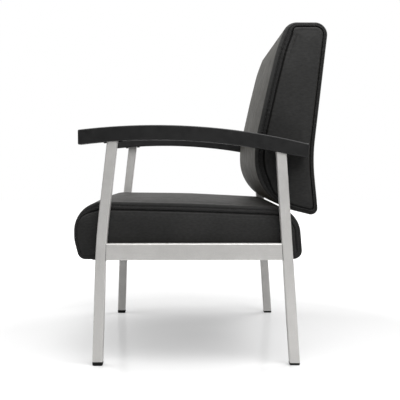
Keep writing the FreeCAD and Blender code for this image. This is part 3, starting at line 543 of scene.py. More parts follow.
class RoundedOutline:
    """A closed line of straight runs and arcs, anticlockwise as seen from the +X side."""

    SMALLEST_RADIUS = 4.0

    def __init__(self, corners: Sequence[Corner], inset: float = 0.0) -> None:
        """Works out the runs and arcs.

        Args:
            corners: The corners in order.
            inset: How far every run is drawn in, in millimetres.
        """
        points = np.array([(corner.y, corner.z) for corner in corners])
        runs = np.roll(points, -1, axis=0) - points
        leave = runs / np.linalg.norm(runs, axis=1)[:, None]
        arrive = np.roll(leave, 1, axis=0)
        inward = np.column_stack([-leave[:, 1], leave[:, 0]])
        before = np.roll(inward, 1, axis=0)
        bend = arrive[:, 0] * leave[:, 1] - arrive[:, 1] * leave[:, 0]
        self.turn = np.arctan2(bend, (arrive * leave).sum(axis=1))
        points = points + inset * (inward + before) / (1.0 + (inward * before).sum(axis=1))[:, None]
        convex = np.sign(self.turn)
        radii = np.array([corner.radius for corner in corners]) - inset * convex
        radii = np.maximum(radii, self.SMALLEST_RADIUS)
        reach = (radii * np.tan(np.abs(self.turn) / 2.0))[:, None]
        self.start = points - arrive * reach
        self.end = points + leave * reach
        self.centre = self.start + before * (radii * convex)[:, None]
        straight = np.linalg.norm(np.roll(self.start, -1, axis=0) - self.end, axis=1)
        self.lengths = np.column_stack([radii * np.abs(self.turn), straight]).ravel()

    def marks(self, quoins: Sequence[int], step: float) -> Marks:
        """Spreads places evenly between the middles of four corners.

        Args:
            quoins: The four corners, in order round the outline.
            step: About how far apart the places are.

        Returns:
            The places, with as many on facing sides.
        """
        reached = np.concatenate([[0.0], np.cumsum(self.lengths)])
        whole = reached[-1]
        stops = [reached[2 * quoin] + self.lengths[2 * quoin] / 2.0 for quoin in quoins]
        stops.append(stops[0] + whole)
        sides = np.diff(stops)
        across = round(max(sides[0], sides[2]) / step)
        up = round(max(sides[1], sides[3]) / step)
        spots = [
            stops[side] + sides[side] * np.arange(count) / count
            for side, count in enumerate((across, up, across, up))
        ]
        along = np.concatenate(spots) % whole
        segments = np.searchsorted(reached, along, side="right") - 1
        shares = (along - reached[segments]) / self.lengths[segments]
        return Marks(segments, shares, across, up)

    def points(self, marks: Marks) -> np.ndarray:
        """Gives the points at some marks.

        Args:
            marks: Places from this outline or one like it.

        Returns:
            One row of Y, Z for each place.
        """
        corner = marks.segments // 2
        angle = self.turn[corner] * marks.shares
        spoke = self.start[corner] - self.centre[corner]
        turned = np.column_stack(
            [
                np.cos(angle) * spoke[:, 0] - np.sin(angle) * spoke[:, 1],
                np.sin(angle) * spoke[:, 0] + np.cos(angle) * spoke[:, 1],
            ]
        )
        after = (corner + 1) % len(self.turn)
        run = self.end[corner] + marks.shares[:, None] * (self.start[after] - self.end[corner])
        on_arc = marks.segments % 2 == 0
        return np.where(on_arc[:, None], self.centre[corner] + turned, run)


def ring_sides(ring: np.ndarray, marks: Marks) -> tuple[np.ndarray, np.ndarray, np.ndarray, np.ndarray]:
    """Cuts a ring at its four quoins.

    Args:
        ring: The ring's points or numbers, from its lowest front quoin.
        marks: The ring's places.

    Returns:
        The lower, rear, upper and front sides, the first and third from the front, the others from below.
    """
    stops = np.cumsum((0, marks.across, marks.up, marks.across, marks.up))
    around = np.concatenate([ring, ring[:1]])
    lower, rear, upper, front = (around[start : stop + 1] for start, stop in zip(stops, stops[1:]))
    return lower, rear, upper[::-1], front[::-1]


def fill_ring(ring: np.ndarray, marks: Marks) -> np.ndarray:
    """Fills a ring with a grid blended from its four sides.

    Args:
        ring: The ring's points, from its lowest front quoin.
        marks: The ring's places.

    Returns:
        The grid's points, by row and column.
    """
    lower, rear, upper, front = ring_sides(ring, marks)
    u = np.linspace(0.0, 1.0, marks.across + 1)[None, :, None]
    v = np.linspace(0.0, 1.0, marks.up + 1)[:, None, None]
    sides = (1 - v) * lower[None] + v * upper[None] + (1 - u) * front[:, None] + u * rear[:, None]
    low = (1 - u) * lower[0] + u * lower[-1]
    high = (1 - u) * upper[0] + u * upper[-1]
    return sides - (1 - v) * low - v * high


@dataclass(frozen=True)
class Density:
    """How finely a cushion is divided, in millimetres.

    The step is round the outline and flat is across the wrap. The roll's rows and the gusset's rings are
    given by how far they lie from the seam.
    """

    step: float
    flat: float
    roll: tuple[float, ...]
    rings: tuple[float, ...]


@dataclass(frozen=True)
class Layout:
    """The places round a cushion's outline, and how much of the roll's depth each of them has."""

    density: Density
    marks: Marks
    rolled: np.ndarray

    @property
    def shares(self) -> np.ndarray:
        """How far round the outline each place is, from 0 to 1."""
        return np.arange(len(self.rolled)) / len(self.rolled)


@dataclass
class Form:
    """A padded form: points and faces, and where each point lies from its gusset seam."""

    points: np.ndarray
    faces: np.ndarray
    seam: np.ndarray
    share: np.ndarray
    sewn: np.ndarray
    stations: int

    @property
    def ring(self) -> int:
        """How many points one row round the wrap has."""
        return len(self.sewn)

    def strength(self) -> np.ndarray:
        """Gives how strongly the nearest stretch of seam is sewn, for every point."""
        return self.sewn[np.rint(self.share * self.ring).astype(int) % self.ring]

    def normals(self) -> np.ndarray:
        """Gives the outward direction at every point.

        Returns:
            One unit row of X, Y, Z for each point.
        """
        mesh = bpy.data.meshes.new("normals")
        mesh.from_pydata(self.points.tolist(), [], self.faces.tolist())
        flat = np.empty(len(self.points) * 3, np.float32)
        mesh.vertex_normals.foreach_get("vector", flat)
        bpy.data.meshes.remove(mesh)
        return flat.reshape(-1, 3).astype(float)

    def row(self, station: int) -> np.ndarray:
        """Gives the point numbers of one row round the wrap."""
        return station * self.ring + np.arange(self.ring)


class Patchwork:
    """Gathers a cover's points and faces, panel by panel."""

    def __init__(self) -> None:
        """Starts with nothing."""
        self.points: list[np.ndarray] = []
        self.seam: list[np.ndarray] = []
        self.share: list[np.ndarray] = []
        self.faces: list[np.ndarray] = []
        self.count = 0

    def add(self, points: np.ndarray, seam: np.ndarray | float, share: np.ndarray | float) -> np.ndarray:
        """Adds points.

        Args:
            points: One row of X, Y, Z for each point.
            seam: How far each lies from the gusset seam, less than 0 on a gusset.
            share: How far round the outline each lies, from 0 to 1.

        Returns:
            The points' numbers.
        """
        size = len(points)
        self.points.append(points)
        self.seam.append(np.broadcast_to(seam, size))
        self.share.append(np.broadcast_to(share, size))
        self.count += size
        return np.arange(self.count - size, self.count)

    def join(self, grid: np.ndarray, side: Side = Side.LEFT) -> None:
        """Joins a grid of point numbers with faces.

        Args:
            grid: The numbers, by row and column.
            side: The side that it is on, because the faces of the right side turn the other way.
        """
        quads = np.stack([grid[:-1, :-1], grid[:-1, 1:], grid[1:, 1:], grid[1:, :-1]], axis=-1)
        self.faces.append(quads.reshape(-1, 4)[:, :: side.value])

    def join_rings(self, rings: Sequence[np.ndarray], side: Side = Side.LEFT) -> None:
        """Joins rings of point numbers, each with the next."""
        grid = np.array(rings)
        self.join(np.column_stack([grid, grid[:, :1]]), side)

    def form(self, sewn: np.ndarray, stations: int) -> Form:
        """Gives the finished form.

        Args:
            sewn: How strongly each place of the seam is sewn.
            stations: How many rows the wrap has.

        Returns:
            The form.
        """
        points, faces = np.vstack(self.points), np.vstack(self.faces)
        return Form(points, faces, np.concatenate(self.seam), np.concatenate(self.share), sewn, stations)


@dataclass(frozen=True)
class Hump:
    """A smooth hump or hollow along a seam: its height, its place and its width."""

    height: float
    place: float
    width: float

    def at(self, distance: np.ndarray) -> np.ndarray:
        """Gives its height at some distances from the seam."""
        return self.height * np.exp(-(((distance - self.place) / self.width) ** 2))


def heap(humps: Sequence[Hump], distance: np.ndarray) -> np.ndarray:
    """Gives the heights of several humps together."""
    return sum(hump.at(distance) for hump in humps)


@dataclass
class GrainRow:
    """Rows of small rounded grains, stitches or weld ripples, laid along lines by Geometry Nodes."""

    FLOAT_LOW = 2
    FLOAT_HIGH = 3
    FLOAT_RESULT = 1

    pitch: float = 4.8
    length: float = 3.7
    radius: float = 0.48
    seed: int = 7
    sides: int = 6
    rings: int = 4
    shortest: float = 0.88
    longest: float = 1.06

    def tree(self) -> bpy.types.NodeTree:
        """Builds the node tree.

        Returns:
            A tree with inputs Pitch, Length, Radius, Seed and Finish.
        """
        tree = bpy.data.node_groups.new("grain_row", "GeometryNodeTree")
        kinds = {"Geometry": "Geometry", "Pitch": "Float", "Length": "Float", "Radius": "Float"}
        kinds |= {"Seed": "Int", "Finish": "Material"}
        for name, kind in kinds.items():
            tree.interface.new_socket(name, in_out="INPUT", socket_type="NodeSocket" + kind)
        tree.interface.new_socket("Geometry", in_out="OUTPUT", socket_type="NodeSocketGeometry")
        sheet = NodeSheet(tree)
        given = sheet.add("NodeGroupInput").outputs
        curve = sheet.add("GeometryNodeMeshToCurve", {"Mesh": given["Geometry"]})
        spaced = sheet.add(
            "GeometryNodeResampleCurve",
            {"Curve": curve.outputs["Curve"], "Length": given["Pitch"]},
            mode="LENGTH",
        )
        grain = sheet.add(
            "GeometryNodeMeshUVSphere", {"Segments": self.sides, "Rings": self.rings, "Radius": 1.0}
        )
        rounded = sheet.add("GeometryNodeSetShadeSmooth", {"Geometry": grain.outputs["Mesh"]})
        tangent = sheet.add("GeometryNodeInputTangent").outputs["Tangent"]
        lie = sheet.add("FunctionNodeAlignRotationToVector", {"Vector": tangent}, axis="Z")
        uneven = sheet.add(
            "FunctionNodeRandomValue",
            {self.FLOAT_LOW: self.shortest, self.FLOAT_HIGH: self.longest, "Seed": given["Seed"]},
            data_type="FLOAT",
        )
        half = sheet.sums("MULTIPLY", given["Length"], 0.5)
        drawn = sheet.sums("MULTIPLY", half, uneven.outputs[self.FLOAT_RESULT])
        scale = sheet.add("ShaderNodeCombineXYZ", {"X": given["Radius"], "Y": given["Radius"], "Z": drawn})
        laid = sheet.add(
            "GeometryNodeInstanceOnPoints",
            {
                "Points": spaced.outputs["Curve"],
                "Instance": rounded.outputs["Geometry"],
                "Rotation": lie.outputs["Rotation"],
                "Scale": scale.outputs["Vector"],
            },
        )
        real = sheet.add("GeometryNodeRealizeInstances", {"Geometry": laid.outputs["Instances"]})
        dyed = sheet.add(
            "GeometryNodeSetMaterial",
            {"Geometry": real.outputs["Geometry"], "Material": given["Finish"]},
        )
        sheet.add("NodeGroupOutput", {"Geometry": dyed.outputs["Geometry"]})
        return tree

    def lay(
        self, name: str, rows: Sequence[np.ndarray], finish: bpy.types.Material, closed: bool = True
    ) -> bpy.types.Object:
        """Lays grains along rows of points.

        Args:
            name: The piece's name.
            rows: The points of each row, in millimetres.
            finish: The grains' material.
            closed: Whether each row joins up with its own start.

        Returns:
            One mesh of all the grains.
        """
        edges: list[tuple[int, int]] = []
        count = 0
        for row in rows:
            size = len(row)
            joined = size if closed else size - 1
            edges += [(count + index, count + (index + 1) % size) for index in range(joined)]
            count += size
        piece = mesh_piece(name, np.vstack(rows), [], edges)
        layer = piece.modifiers.new("grains", "NODES")
        layer.node_group = self.tree()
        values = {
            "Pitch": self.pitch * MM,
            "Length": self.length * MM,
            "Radius": self.radius * MM,
            "Seed": self.seed,
            "Finish": finish,
        }
        for socket in layer.node_group.interface.items_tree:
            if socket.in_out == "INPUT" and socket.name in values:
                layer[socket.identifier] = values[socket.name]
        graph = bpy.context.evaluated_depsgraph_get()
        grains = bpy.data.meshes.new_from_object(piece.evaluated_get(graph))
        piece.modifiers.remove(layer)
        piece.data = grains
        dress(piece, finish)
        return piece


NEAR_ROLL = (0.0, 1.0, 2.0, 3.0, 4.2, 5.6, 7.0, 8.0, 9.0, 10.0, 11.0, 12.0, 13.2)
FAR_ROLL = (15.0, 17.0, 19.5, 22.0, 25.0, 28.0)
FINE = Density(
    step=3.4, flat=14.0, roll=NEAR_ROLL + FAR_ROLL, rings=(1.0, 2.0, 3.2, 4.6, 6.5, 9.0, 12.5)
)
COARSE = Density(step=15.0, flat=19.0, roll=(0.0, 8.0, 16.0, 24.5), rings=(6.0, 14.0))
EDGESTITCH = 3.0
TOPSTITCH = 10.0
HELD = "held"
CLOTH_SETTINGS: dict[str, Any] = {
    "quality": 6,
    "mass": 0.4,
    "tension_stiffness": 25.0,
    "compression_stiffness": 25.0,
    "shear_stiffness": 12.0,
    "bending_stiffness": 4.0,
    "use_pressure": True,
    "uniform_pressure_force": 4.0,
    "vertex_group_mass": HELD,
}


@dataclass
class Cushion:
    """A padded form of one wrap panel and two side gussets, sewn together and topstitched.

    Lengths are in millimetres. Values for four sides are for the outline's lower, rear, upper and front
    sides. A pucker is between the two numbers of places long, and the humps lie by distance from the seam.
    """

    name: str = "cushion"
    half_width: float = 370.0
    side_limit: float = 371.4
    side_easing: float = 1.5
    roll_width: float = 22.0
    roll_depth: float = 20.0
    roll_power: float = 2.5
    roll_samples: int = 2000
    roll_spare: float = 1.5
    roll_guard: float = 3.0
    edge_drop: float = 3.5
    edge_reach: float = 9.0
    pillow_drop: float = 10.0
    pillow_reach: float = 26.0
    quoins: tuple[int, int, int, int] = (0, 1, 2, 4)
    seam_insets: Four = (14.0, 16.0, 22.0, 8.0)
    sewn_sides: Four = (0.0, 0.8, 1.0, 0.45)
    side_blend: float = 45.0
    gap_stride: int = 3
    seam_hollow: Hump = Hump(-2.8, 0.0, 2.1)
    wrap_relief: tuple[Hump, ...] = (
        Hump(0.9, TOPSTITCH / 2.0, 2.6),
        Hump(0.7, TOPSTITCH + 9.0, 7.0),
        Hump(-1.7, TOPSTITCH, 1.7),
    )
    gusset_relief: tuple[Hump, ...] = (Hump(1.6, 5.5, 4.0),)
    wrap_puckers: tuple[Hump, ...] = (Hump(0.28, 0.0, 7.0), Hump(0.28, TOPSTITCH, 6.0))
    gusset_puckers: tuple[Hump, ...] = (Hump(0.28, 3.0, 8.0),)
    pucker_waves: int = 6
    pucker_places: tuple[int, int] = (5, 3)
    # Painted shade along the seam: a dark seam line, a dark topstitch line and a lighter-shaded band between
    # them, by distance from the seam.
    painted_seam_shades: tuple[Hump, ...] = (
        Hump(0.35, 0.0, 2.0),
        Hump(0.35, TOPSTITCH, 2.0),
        Hump(0.2, TOPSTITCH / 2.0, 4.5),
    )
    drift: float = 0.2
    drift_size: float = 75.0
    drift_reach: float = 40.0
    start_inset: float = 1.0
    frames: int = 20
    swell_cap: float = 24.0
    swell_height: float = 2.4
    swell_points: int = 6
    swell_blur: float = 30.0
    bare_below: float = 0.25
    stitch_lift: float = 0.12
    seed: int = 11
    fill: float = 0.88

    def corners(self, crown: float) -> list[Corner]:
        """Gives the side outline's corners where the crown has this share of its height."""
        raise NotImplementedError

    def held(self, form: Form) -> np.ndarray:
        """Says which points the frame or a seam holds still while the cover swells."""
        raise NotImplementedError

    @property
    def flat(self) -> float:
        """Half the width of the wrap before it rolls down to the gusset."""
        return self.half_width - self.roll_width

    def roll_places(self, distances: Sequence[float]) -> list[Triple]:
        """Places rows on the rolled edge, a squared quarter round.

        Args:
            distances: How far each is from the gusset seam, along the surface.

        Returns:
            X, inset and distance of each that the roll has room for, and of the roll's far end.
        """
        angle = np.linspace(0.0, math.pi / 2.0, self.roll_samples)
        power = 2.0 / self.roll_power
        x = self.flat + (self.gusset_x(0.0) - self.flat) * np.sin(angle) ** power
        inset = self.roll_depth * (1.0 - np.cos(angle) ** power)
        travelled = np.concatenate([[0.0], np.cumsum(np.hypot(np.diff(x), np.diff(inset)))])
        whole = float(travelled[-1])
        kept = [distance for distance in distances if distance < whole - self.roll_spare]
        return [
            (
                float(np.interp(whole - distance, travelled, x)),
                float(np.interp(whole - distance, travelled, inset)),
                distance,
            )
            for distance in (*kept, whole)
        ]

    def gusset_x(self, inside: np.ndarray | float) -> np.ndarray | float:
        """Gives the gusset's half width, which pulls in towards its seam.

        Args:
            inside: How far each point is from the seam.

        Returns:
            The half width at each point.
        """
        edge = self.edge_drop * np.exp(-inside / self.edge_reach)
        return self.half_width - edge - self.pillow_drop * np.exp(-inside / self.pillow_reach)

    def round_sides(self, sides: Four, marks: Marks, step: float) -> np.ndarray:
        """Spreads a value for each of the four sides over the places round the outline.

        Args:
            sides: The values of the lower, rear, upper and front sides.
            marks: The places.
            step: About how far apart they are.

        Returns:
            A value for each place, eased from side to side.
        """
        values = np.repeat(np.array(sides), (marks.across, marks.up, marks.across, marks.up))
        reach = max(1, round(self.side_blend / step))
        window = np.hanning(2 * reach + 3)[1:-1]
        padded = np.concatenate([values[-reach:], values, values[:reach]])
        return np.convolve(padded, window / window.sum(), mode="valid")

    def drawn_in(self, crown: float, inset: float, marks: Marks, shares: np.ndarray) -> np.ndarray:
        """Gives the outline drawn in by an inset that varies round it.

        Args:
            crown: The share of the crown.
            inset: How far the outline is drawn in where the share is 1, in millimetres.
            marks: The places.
            shares: How much of the inset each place has.

        Returns:
            One row of Y, Z for each place.
        """
        corners = self.corners(crown)
        outer = RoundedOutline(corners).points(marks)
        if inset == 0.0:
            return outer
        return outer + (RoundedOutline(corners, inset).points(marks) - outer) * shares[:, None]

    def stations(self, density: Density) -> list[Triple]:
        """Places the rows of the wrap, from the right seam to the left seam.

        Args:
            density: How finely it is divided.

        Returns:
            X, inset and distance from the nearer seam of each row.
        """
        roll = self.roll_places(density.roll)
        edge = roll[-1][2]
        steps = math.ceil(2.0 * self.flat / density.flat)
        guard = self.flat - self.roll_guard
        even = np.linspace(-self.flat, self.flat, steps + 1)[1:-1]
        middle = np.sort(np.append(even, (-guard, guard)))
        right = [(-x, inset, away) for x, inset, away in roll]
        return [*right, *((x, 0.0, edge + self.flat - abs(x)) for x in middle), *roll[::-1]]

    def close_side(self, cover: Patchwork, side: Side, seam: np.ndarray, layout: Layout) -> None:
        """Adds one gusset: rings inside the seam, and a grid that fills the last of them.

        Args:
            cover: The cover so far.
            side: The gusset's side.
            seam: The point numbers of the wrap's last row, at the seam.
            layout: The places round the outline.
        """
        rings = [seam]
        depth = layout.rolled * self.roll_depth
        for distance in layout.density.rings:
            whole = self.roll_depth + distance
            outline = self.drawn_in(0.0, whole, layout.marks, (depth + distance) / whole)
            x = side.value * self.gusset_x(np.full(len(seam), distance))
            rings.append(cover.add(np.column_stack([x, outline]), -distance, layout.shares))
        cover.join_rings(rings, side)
        inside = fill_ring(outline, layout.marks)[1:-1, 1:-1].reshape(-1, 2)
        gaps = np.linalg.norm(inside[:, None] - outline[None, :: self.gap_stride], axis=2).min(axis=1)
        gaps += layout.density.rings[-1]
        x = side.value * self.gusset_x(gaps)
        middle = cover.add(np.column_stack([x, inside]), -gaps, 0.0)
        rows, columns = layout.marks.up + 1, layout.marks.across + 1
        grid = np.empty((rows, columns), int)
        grid[1:-1, 1:-1] = middle.reshape(rows - 2, columns - 2)
        grid[0], grid[:, -1], grid[-1], grid[:, 0] = ring_sides(rings[-1], layout.marks)
        cover.join(grid, side)

    def form(self, density: Density) -> Form:
        """Lays out the whole closed form.

        Args:
            density: How finely it is divided.

        Returns:
            The form's points and faces.
        """
        marks = RoundedOutline(self.corners(0.0)).marks(self.quoins, density.step)
        rolled = self.round_sides(self.seam_insets, marks, density.step) / self.roll_depth
        layout = Layout(density, marks, rolled)
        cover = Patchwork()
        rings = []
        for x, inset, away in self.stations(density):
            crown = 1.0 - min(1.0, abs(x) / self.flat) ** 2
            outline = self.drawn_in(crown, inset, marks, rolled)
            points = np.column_stack([np.full(len(rolled), x), outline])
            rings.append(cover.add(points, away, layout.shares))
        cover.join_rings(rings)
        for side, seam in ((Side.LEFT, rings[-1]), (Side.RIGHT, rings[0])):
            self.close_side(cover, side, seam, layout)
        return cover.form(self.round_sides(self.sewn_sides, marks, density.step), len(rings))

    def relief(self, form: Form) -> np.ndarray:
        """Gives the sewn relief: seam, topstitch, puffed band and puckers, and a slow drift of the panels.

        Args:
            form: The fine form.

        Returns:
            How far each point stands out, in millimetres.
        """
        away = form.seam
        on_wrap = away >= 0.0
        draw = np.random.default_rng(self.seed)
        fewest, most = (form.ring // places for places in self.pucker_places)
        waves = draw.integers(fewest, most, self.pucker_waves)
        phases = draw.uniform(0.0, 2.0 * math.pi, self.pucker_waves)
        ripple = sum(
            np.sin(2.0 * math.pi * wave * form.share + phase) for wave, phase in zip(waves, phases)
        )
        puckers = np.where(on_wrap, heap(self.wrap_puckers, away), heap(self.gusset_puckers, -away))
        stands = np.where(on_wrap, heap(self.wrap_relief, away), heap(self.gusset_relief, -away))
        stands += self.seam_hollow.at(away) + puckers * ripple / math.sqrt(self.pucker_waves)
        stands *= form.strength()
        cloud = np.array([noise.noise(Vector(point) / self.drift_size) for point in form.points])
        calm = np.clip(np.abs(away) / self.drift_reach, 0.0, 1.0)
        return stands + self.drift * cloud * calm

    def blow_up(self, coarse: Form) -> np.ndarray:
        """Runs a coarse copy of the cover as cloth under pressure.

        Args:
            coarse: The coarse form.

        Returns:
            How far each of its points stands out from the form, capped and scaled, in millimetres.
        """
        normals = coarse.normals()
        tight = coarse.points - normals * self.start_inset
        piece = mesh_piece(self.name + "_swelling", tight, coarse.faces.tolist())
        pins = piece.vertex_groups.new(name=HELD)
        pins.add(np.flatnonzero(self.held(coarse)).tolist(), 1.0, "REPLACE")
        cloth = piece.modifiers.new("cloth", "CLOTH")
        for key, value in CLOTH_SETTINGS.items():
            setattr(cloth.settings, key, value)
        cloth.settings.effector_weights.gravity = 0.0
        cloth.point_cache.frame_start = 1
        cloth.point_cache.frame_end = self.frames
        scene = bpy.context.scene
        for number in range(1, self.frames + 1):
            scene.frame_set(number)
        blown = piece.evaluated_get(bpy.context.evaluated_depsgraph_get()).to_mesh()
        flat = np.empty(len(tight) * 3, np.float32)
        blown.vertices.foreach_get("co", flat)
        scene.frame_set(1)
        bpy.data.objects.remove(piece)
        moved = ((flat.reshape(-1, 3) / MM - tight) * normals).sum(axis=1)
        LOG.info("%s cloth moved %.1f to %.1f mm", self.name, moved.min(), moved.max())
        capped = np.clip(moved, 0.0, self.swell_cap) * self.swell_height / self.swell_cap
        return capped - self.start_inset

    def swell(self, form: Form) -> np.ndarray:
        """Gives the fine form the swell of the coarse cloth.

        Args:
            form: The fine form.

        Returns:
            How far each fine point moves, in millimetres.
        """
        coarse = self.form(COARSE)
        stands = self.blow_up(coarse)
        finder = KDTree(len(coarse.points))
        for index, point in enumerate(coarse.points):
            finder.insert(point, index)
        finder.balance()
        result = np.empty(len(form.points))
        for index, point in enumerate(form.points):
            found = finder.find_n(point, self.swell_points)
            weights = np.array([1.0 / (gap * gap + self.swell_blur) for _, _, gap in found])
            result[index] = weights @ stands[[near for _, near, _ in found]] / weights.sum()
        return result

    def settle(self, points: np.ndarray) -> np.ndarray:
        """Eases the sides back where they come near the legs and arms.

        Args:
            points: The cushion's points.

        Returns:
            The same points, no wider than the limit.
        """
        room = self.side_limit - self.half_width + self.side_easing
        out = np.abs(points[:, 0]) - (self.side_limit - room)
        eased = self.side_limit - room + room * np.tanh(np.maximum(out, 0.0) / room)
        points[:, 0] = np.where(out > 0.0, np.sign(points[:, 0]) * eased, points[:, 0])
        return points

    def stitch(self, form: Form, thread: bpy.types.Material) -> bpy.types.Object:
        """Sews both lines of stitches beside both gusset seams, where these are sewn strongly enough.

        Args:
            form: The finished form.
            thread: The thread's material.

        Returns:
            The stitches, as one piece.
        """
        normals = form.normals()
        bare = form.sewn < self.bare_below
        first = int(np.argmax(bare))
        shown = (np.flatnonzero(~np.roll(bare, -first)) + first) % form.ring
        rows = []
        for distance in (EDGESTITCH, TOPSTITCH):
            station = FINE.roll.index(distance)
            for number in (station, form.stations - 1 - station):
                row = form.row(number)[shown]
                rows.append(form.points[row] + normals[row] * self.stitch_lift)
        whole = not bare.any()
        stitches = GrainRow(seed=self.seed).lay(self.name + "_stitches", rows, thread, whole)
        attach(stitches, BODY)
        return stitches

    def build(self, rack: FinishRack) -> list[bpy.types.Object]:
        """Makes the cushion and its stitches.

        Args:
            rack: The finishes.

        Returns:
            The cushion, then its stitches.
        """
        form = self.form(FINE)
        normals = form.normals()
        stands = self.relief(form)
        stands += self.swell(form)
        form.points = self.settle(form.points + normals * stands[:, None])
        piece = mesh_piece(self.name, form.points, form.faces.tolist())
        # Paints shade into the seam grooves and band, as a point attribute for the vinyl.
        sewn = np.clip(heap(self.painted_seam_shades, form.seam), 0.0, 1.0) * form.strength()
        layer = piece.data.attributes.new(PAINTED_SEAM_SHADE, "FLOAT", "POINT")
        layer.data.foreach_set("value", sewn.astype(np.float32))
        dress(piece, rack.by_slot[Slot.VINYL])
        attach(piece, BODY)
        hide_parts(self.name.replace("cushion", "cover"), self.name.replace("cushion", "foam"))
        return [piece, self.stitch(form, rack.thread)]


@dataclass
class SeatCushion(Cushion):
    """The seat: a deep box cushion with a rolled nose."""

    name: str = "seat_cushion"
    front: float = -351.3
    bottom: float = 285.0
    depth: float = 635.6
    thickness: float = 153.0
    slope: float = 1.8
    edge_bow: float = 2.5
    crown: float = 9.0
    bow_radius: float = 1400.0
    nose_radius: float = 82.0
    tuck_angle: float = 14.0
    tuck_height: float = 56.0
    tuck_radius: float = 80.0
    lip_radius: float = 24.0
    rear_lean: float = 5.0
    rear_radius: float = 78.0
    heel_radius: float = 24.0
    held_height: float = 18.0

    @classmethod
    def on_frame(cls) -> "SeatCushion":
        """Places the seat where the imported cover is."""
        low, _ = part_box("seat_cover")
        return cls(front=low.y / MM, bottom=low.z / MM)

    def corners(self, crown: float) -> list[Corner]:
        """Gives the seat's side outline.

        Args:
            crown: The share of the crown here, 1 in the middle of the seat.

        Returns:
            The corners from the lip, under the seat, up the rear and over the top.
        """
        fall = math.tan(math.radians(self.slope))
        lean = math.tan(math.radians(self.rear_lean))
        rear = self.front + self.depth
        level = self.bottom + self.thickness
        rear_top = (level - fall * (rear + lean * self.bottom)) / (1.0 - fall * lean)
        middle = (self.front + rear) / 2.0
        bow = self.edge_bow + self.crown * crown
        tuck = self.tuck_height * math.tan(math.radians(self.tuck_angle))
        return [
            Corner(self.front + tuck, self.bottom, self.lip_radius),
            Corner(rear, self.bottom, self.heel_radius),
            Corner(rear - lean * (rear_top - self.bottom), rear_top, self.rear_radius),
            Corner(middle, level - fall * middle + bow, self.bow_radius),
            Corner(self.front, level - fall * self.front, self.nose_radius),
            Corner(self.front, self.bottom + self.tuck_height, self.tuck_radius),
        ]

    def held(self, form: Form) -> np.ndarray:
        """Says that the seams and the underside are held."""
        return (form.seam == 0.0) | (form.points[:, 2] < self.bottom + self.held_height)


@dataclass
class BackCushion(Cushion):
    """The back: a tall pad with a lumbar swell, a waisted rear and a rolled top."""

    name: str = "back_cushion"
    half_width: float = 349.0
    side_limit: float = 351.3
    quoins: tuple[int, int, int, int] = (0, 1, 3, 4)
    seam_insets: Four = (15.0, 12.0, 13.0, 26.0)
    sewn_sides: Four = (0.7, 1.0, 1.0, 1.0)
    edge_drop: float = 2.5
    pillow_drop: float = 5.0
    pillow_reach: float = 40.0
    # The back's seams get stronger painted shade than the seat's.
    painted_seam_shades: tuple[Hump, ...] = (
        Hump(1.0, 0.0, 2.0),
        Hump(1.0, TOPSTITCH, 2.0),
        Hump(0.5, TOPSTITCH / 2.0, 4.5),
    )
    drift: float = 0.08
    seed: int = 23
    front: float = 151.0
    top: float = 941.9
    rise: float = 378.2
    lower_radius: float = 150.0
    under_slope: float = 13.8
    lumbar_flat: float = 11.2
    lumbar_radius: float = 290.0
    recline: float = 12.93
    edge_bow: float = 1.5
    crown: float = 8.0
    bow_rise: float = 197.0
    bow_radius: float = 1500.0
    bow_tightening: float = 260.0
    top_front_radius: float = 40.0
    shoulder_drop: float = 70.0
    shoulder_lean: float = 21.4
    shoulder_radius: float = 450.0
    top_rear_radius: float = 35.0
    waist_depth: float = 163.4
    waist_rise: float = 2.2
    waist_radius: float = 500.0
    rear_lean: float = 6.38
    rear_flare: float = 5.86
    heel_radius: float = 19.0

    @classmethod
    def on_frame(cls) -> "BackCushion":
        """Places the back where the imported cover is."""
        low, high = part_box("back_cover")
        return cls(front=low.y / MM, top=high.z / MM)

    def corners(self, crown: float) -> list[Corner]:
        """Gives the back's side outline.

        Args:
            crown: The share of the crown here, 1 in the middle of the back.

        Returns:
            The corners from the lower front, under the back, up the rear and down the front.
        """
        under = math.tan(math.radians(self.under_slope))
        lean = math.tan(math.radians(self.rear_lean))
        flare = math.tan(math.radians(self.rear_flare))
        recline = math.tan(math.radians(self.recline))
        centre = self.top - self.rise
        low = centre - self.lower_radius * math.tan(math.radians((90.0 - self.under_slope) / 2.0))
        lumbar = centre + self.lumbar_flat
        lumbar += self.lumbar_radius * math.tan(math.radians(self.recline / 2.0))
        waist_y = self.front + self.waist_depth
        waist_z = centre + self.waist_rise
        heel_y = (waist_y + flare * (waist_z - low - under * self.front)) / (1.0 - flare * under)
        heel_z = low - under * (heel_y - self.front)
        bow_z = centre + self.bow_rise
        bow = self.edge_bow + self.crown * crown
        bow_radius = self.bow_radius - self.bow_tightening * crown
        shoulder_y = self.front + recline * (self.top - self.shoulder_drop - lumbar)
        head_y = shoulder_y + math.tan(math.radians(self.shoulder_lean)) * self.shoulder_drop
        return [
            Corner(self.front, low, self.lower_radius),
            Corner(heel_y, heel_z, self.heel_radius),
            Corner(waist_y, waist_z, self.waist_radius),
            Corner(waist_y + lean * (self.top - waist_z), self.top, self.top_rear_radius),
            Corner(head_y, self.top, self.top_front_radius),
            Corner(shoulder_y, self.top - self.shoulder_drop, self.shoulder_radius),
            Corner(self.front + recline * (bow_z - lumbar) - bow, bow_z, bow_radius),
            Corner(self.front, lumbar, self.lumbar_radius),
        ]

    def held(self, form: Form) -> np.ndarray:
        """Says that the seams are held."""
        return form.seam == 0.0


